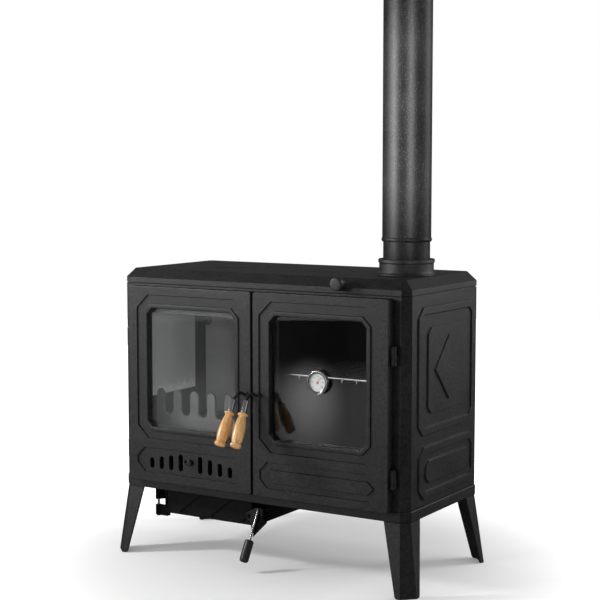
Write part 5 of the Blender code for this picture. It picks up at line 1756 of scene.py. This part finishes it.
@dataclass
class Studio:
    """Floor, light and camera."""

    camera_place: Point = (1.951, -3.108, 1.010)
    camera_turn: Point = (90 - 5.318, 0.0, 31.558)
    lens: float = 87.95
    film: float = 36.0
    floor_radius: float = 6.0
    ambient: float = 0.45
    gloss: float = 0.115
    lamps: tuple[SoftLamp | NarrowLamp, ...] = (
        SoftLamp("key", (-1.75, -2.9, 1.0), (0.7, 0.7), 19.0),
        SoftLamp("left", (-1.6, -1.2, 1.3), (0.25, 0.4), 24.0),
        SoftLamp("side", (2.5, 2.3, 1.6), (1.2, 1.8), 45.0),
        SoftLamp("right", (3.2, 0.6, 1.3), (1.0, 1.8), 8.0),
        NarrowLamp("pipe left", (-1.54, -2.55, 1.25), PIPE, 11.0, 830.0),
        NarrowLamp("pipe right", (2.49, -2.29, 1.25), PIPE, 11.0, 760.0),
        NarrowLamp("firebox", (1.75, -2.80, 1.15), FIREBOX, 7.6, 72.0),
    )

    def build(self) -> None:
        """Sets up all of it."""
        bpy.context.scene.view_settings.view_transform = "Standard"
        self.camera()
        self.floor()
        self.world()
        for lamp in self.lamps:
            lamp.hang()

    def camera(self) -> None:
        """Camera at the photograph's angle."""
        data = bpy.data.cameras.new("camera")
        data.lens = self.lens
        data.sensor_width = self.film
        obj = bpy.data.objects.new("camera", data)
        obj.location = self.camera_place
        obj.rotation_euler = Euler([math.radians(angle) for angle in self.camera_turn])
        bpy.context.scene.collection.objects.link(obj)
        bpy.context.scene.camera = obj

    def floor(self) -> None:
        """Round floor under the stove."""
        Bench.clear()
        bpy.ops.mesh.primitive_circle_add(vertices=96, radius=self.floor_radius, fill_type="NGON")
        obj = bpy.context.object
        obj.name = "studio_floor"
        obj.data.materials.append(StudioFloor().make())

    def world(self) -> None:
        """White to the eye, plain soft light on matt surfaces, and nearly black in gloss."""
        world = bpy.data.worlds.new("studio")
        world.use_nodes = True
        tree = world.node_tree
        eye, glossy = seen(tree), ray(tree, "Is Glossy Ray")
        around = glossy * self.gloss + (1.0 - glossy) * self.ambient
        background = tree.nodes["Background"].inputs
        feed(tree, background["Strength"], eye + (1.0 - eye) * around)
        feed(tree, background["Color"], (1.0, 1.0, 1.0))
        bpy.context.scene.world = world


def make_finishes(handles: Sequence[DoorHandle]) -> dict[str, bpy.types.Material]:
    """All the stove's materials by name.

    Args:
        handles: The door handles, whose grips each have wood that grows along them.

    Returns:
        The materials.
    """
    finishes: tuple[Finish, ...] = (
        CastIron(),
        CastIron("hob_iron", (0.006, 0.006, 0.0062), (0.020, 0.020, 0.0206), 0.48, 820.0, 0.0004),
        CastIron("fire_iron", (0.028, 0.028, 0.028), (0.068, 0.068, 0.067), 0.60, 520.0, 0.0004),
        # Darker, duller copy of the cast iron: painted shade on the pieces under the base plate and beside
        # the oven door.
        CastIron("ash_iron", (0.002, 0.002, 0.0021), (0.006, 0.006, 0.0062), 0.62, 620.0, 0.0004, 0.2),
        FluePaint(),
        Lining("lining_left", (0.40, 0.40, 0.392), (0.60, 0.60, 0.59), 0.425),
        Lining("lining_rear", (0.16, 0.16, 0.157), (0.32, 0.32, 0.313)),
        BrightMetal("bright_steel", (0.70, 0.70, 0.69), 0.22, 0.14),
        BrightMetal("chrome", (0.86, 0.86, 0.86), 0.06, 0.04),
        BrightMetal("black_steel", (0.045, 0.045, 0.047), 0.34, 0.12, 0.6),
        Enamel("black_enamel"),
        Enamel("oven_enamel", (0.003, 0.003, 0.0032), (0.006, 0.006, 0.0062), 0.62, 0.000006),
        Enamel("bakelite", (0.016, 0.016, 0.0165), (0.026, 0.026, 0.0265), 0.45),
        DoorGlass("door_glass"),
        DoorGlass("fire_glass", haze=0.04, clarity=0.99),
        DoorGlass("lens_glass", (0.98, 0.98, 0.98)),
        Rope(),
        Print("dial_white", (0.56, 0.56, 0.55)),
        Print("print_black", (0.02, 0.02, 0.02)),
        Print("needle_red", (0.52, 0.02, 0.02), 0.35),
        *(Beech(handle.wood, handle.grain_turn()) for handle in handles),
    )
    return {finish.name: finish.make() for finish in finishes}


def main() -> None:
    """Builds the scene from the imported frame."""
    logging.basicConfig(level=logging.INFO, format="%(message)s")
    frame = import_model()
    Studio().build()
    model = Model(frame)
    handles = [
        DoorHandle(model, "firebox", -1, math.radians(1.0)),
        DoorHandle(model, "oven", 1, math.radians(4.5)),
    ]
    model.finishes.update(make_finishes(handles))
    model.dress()
    Castings(model).build()
    LiningBolt(model).build()
    Hobs(model).build()
    Flue(model).build()
    for handle in handles:
        handle.build()
    Thermometer(model).build()
    DamperKnob(model).build()
    AirKnob(model).build()
    AshLever(model).build()


if __name__ == "__main__":
    main()
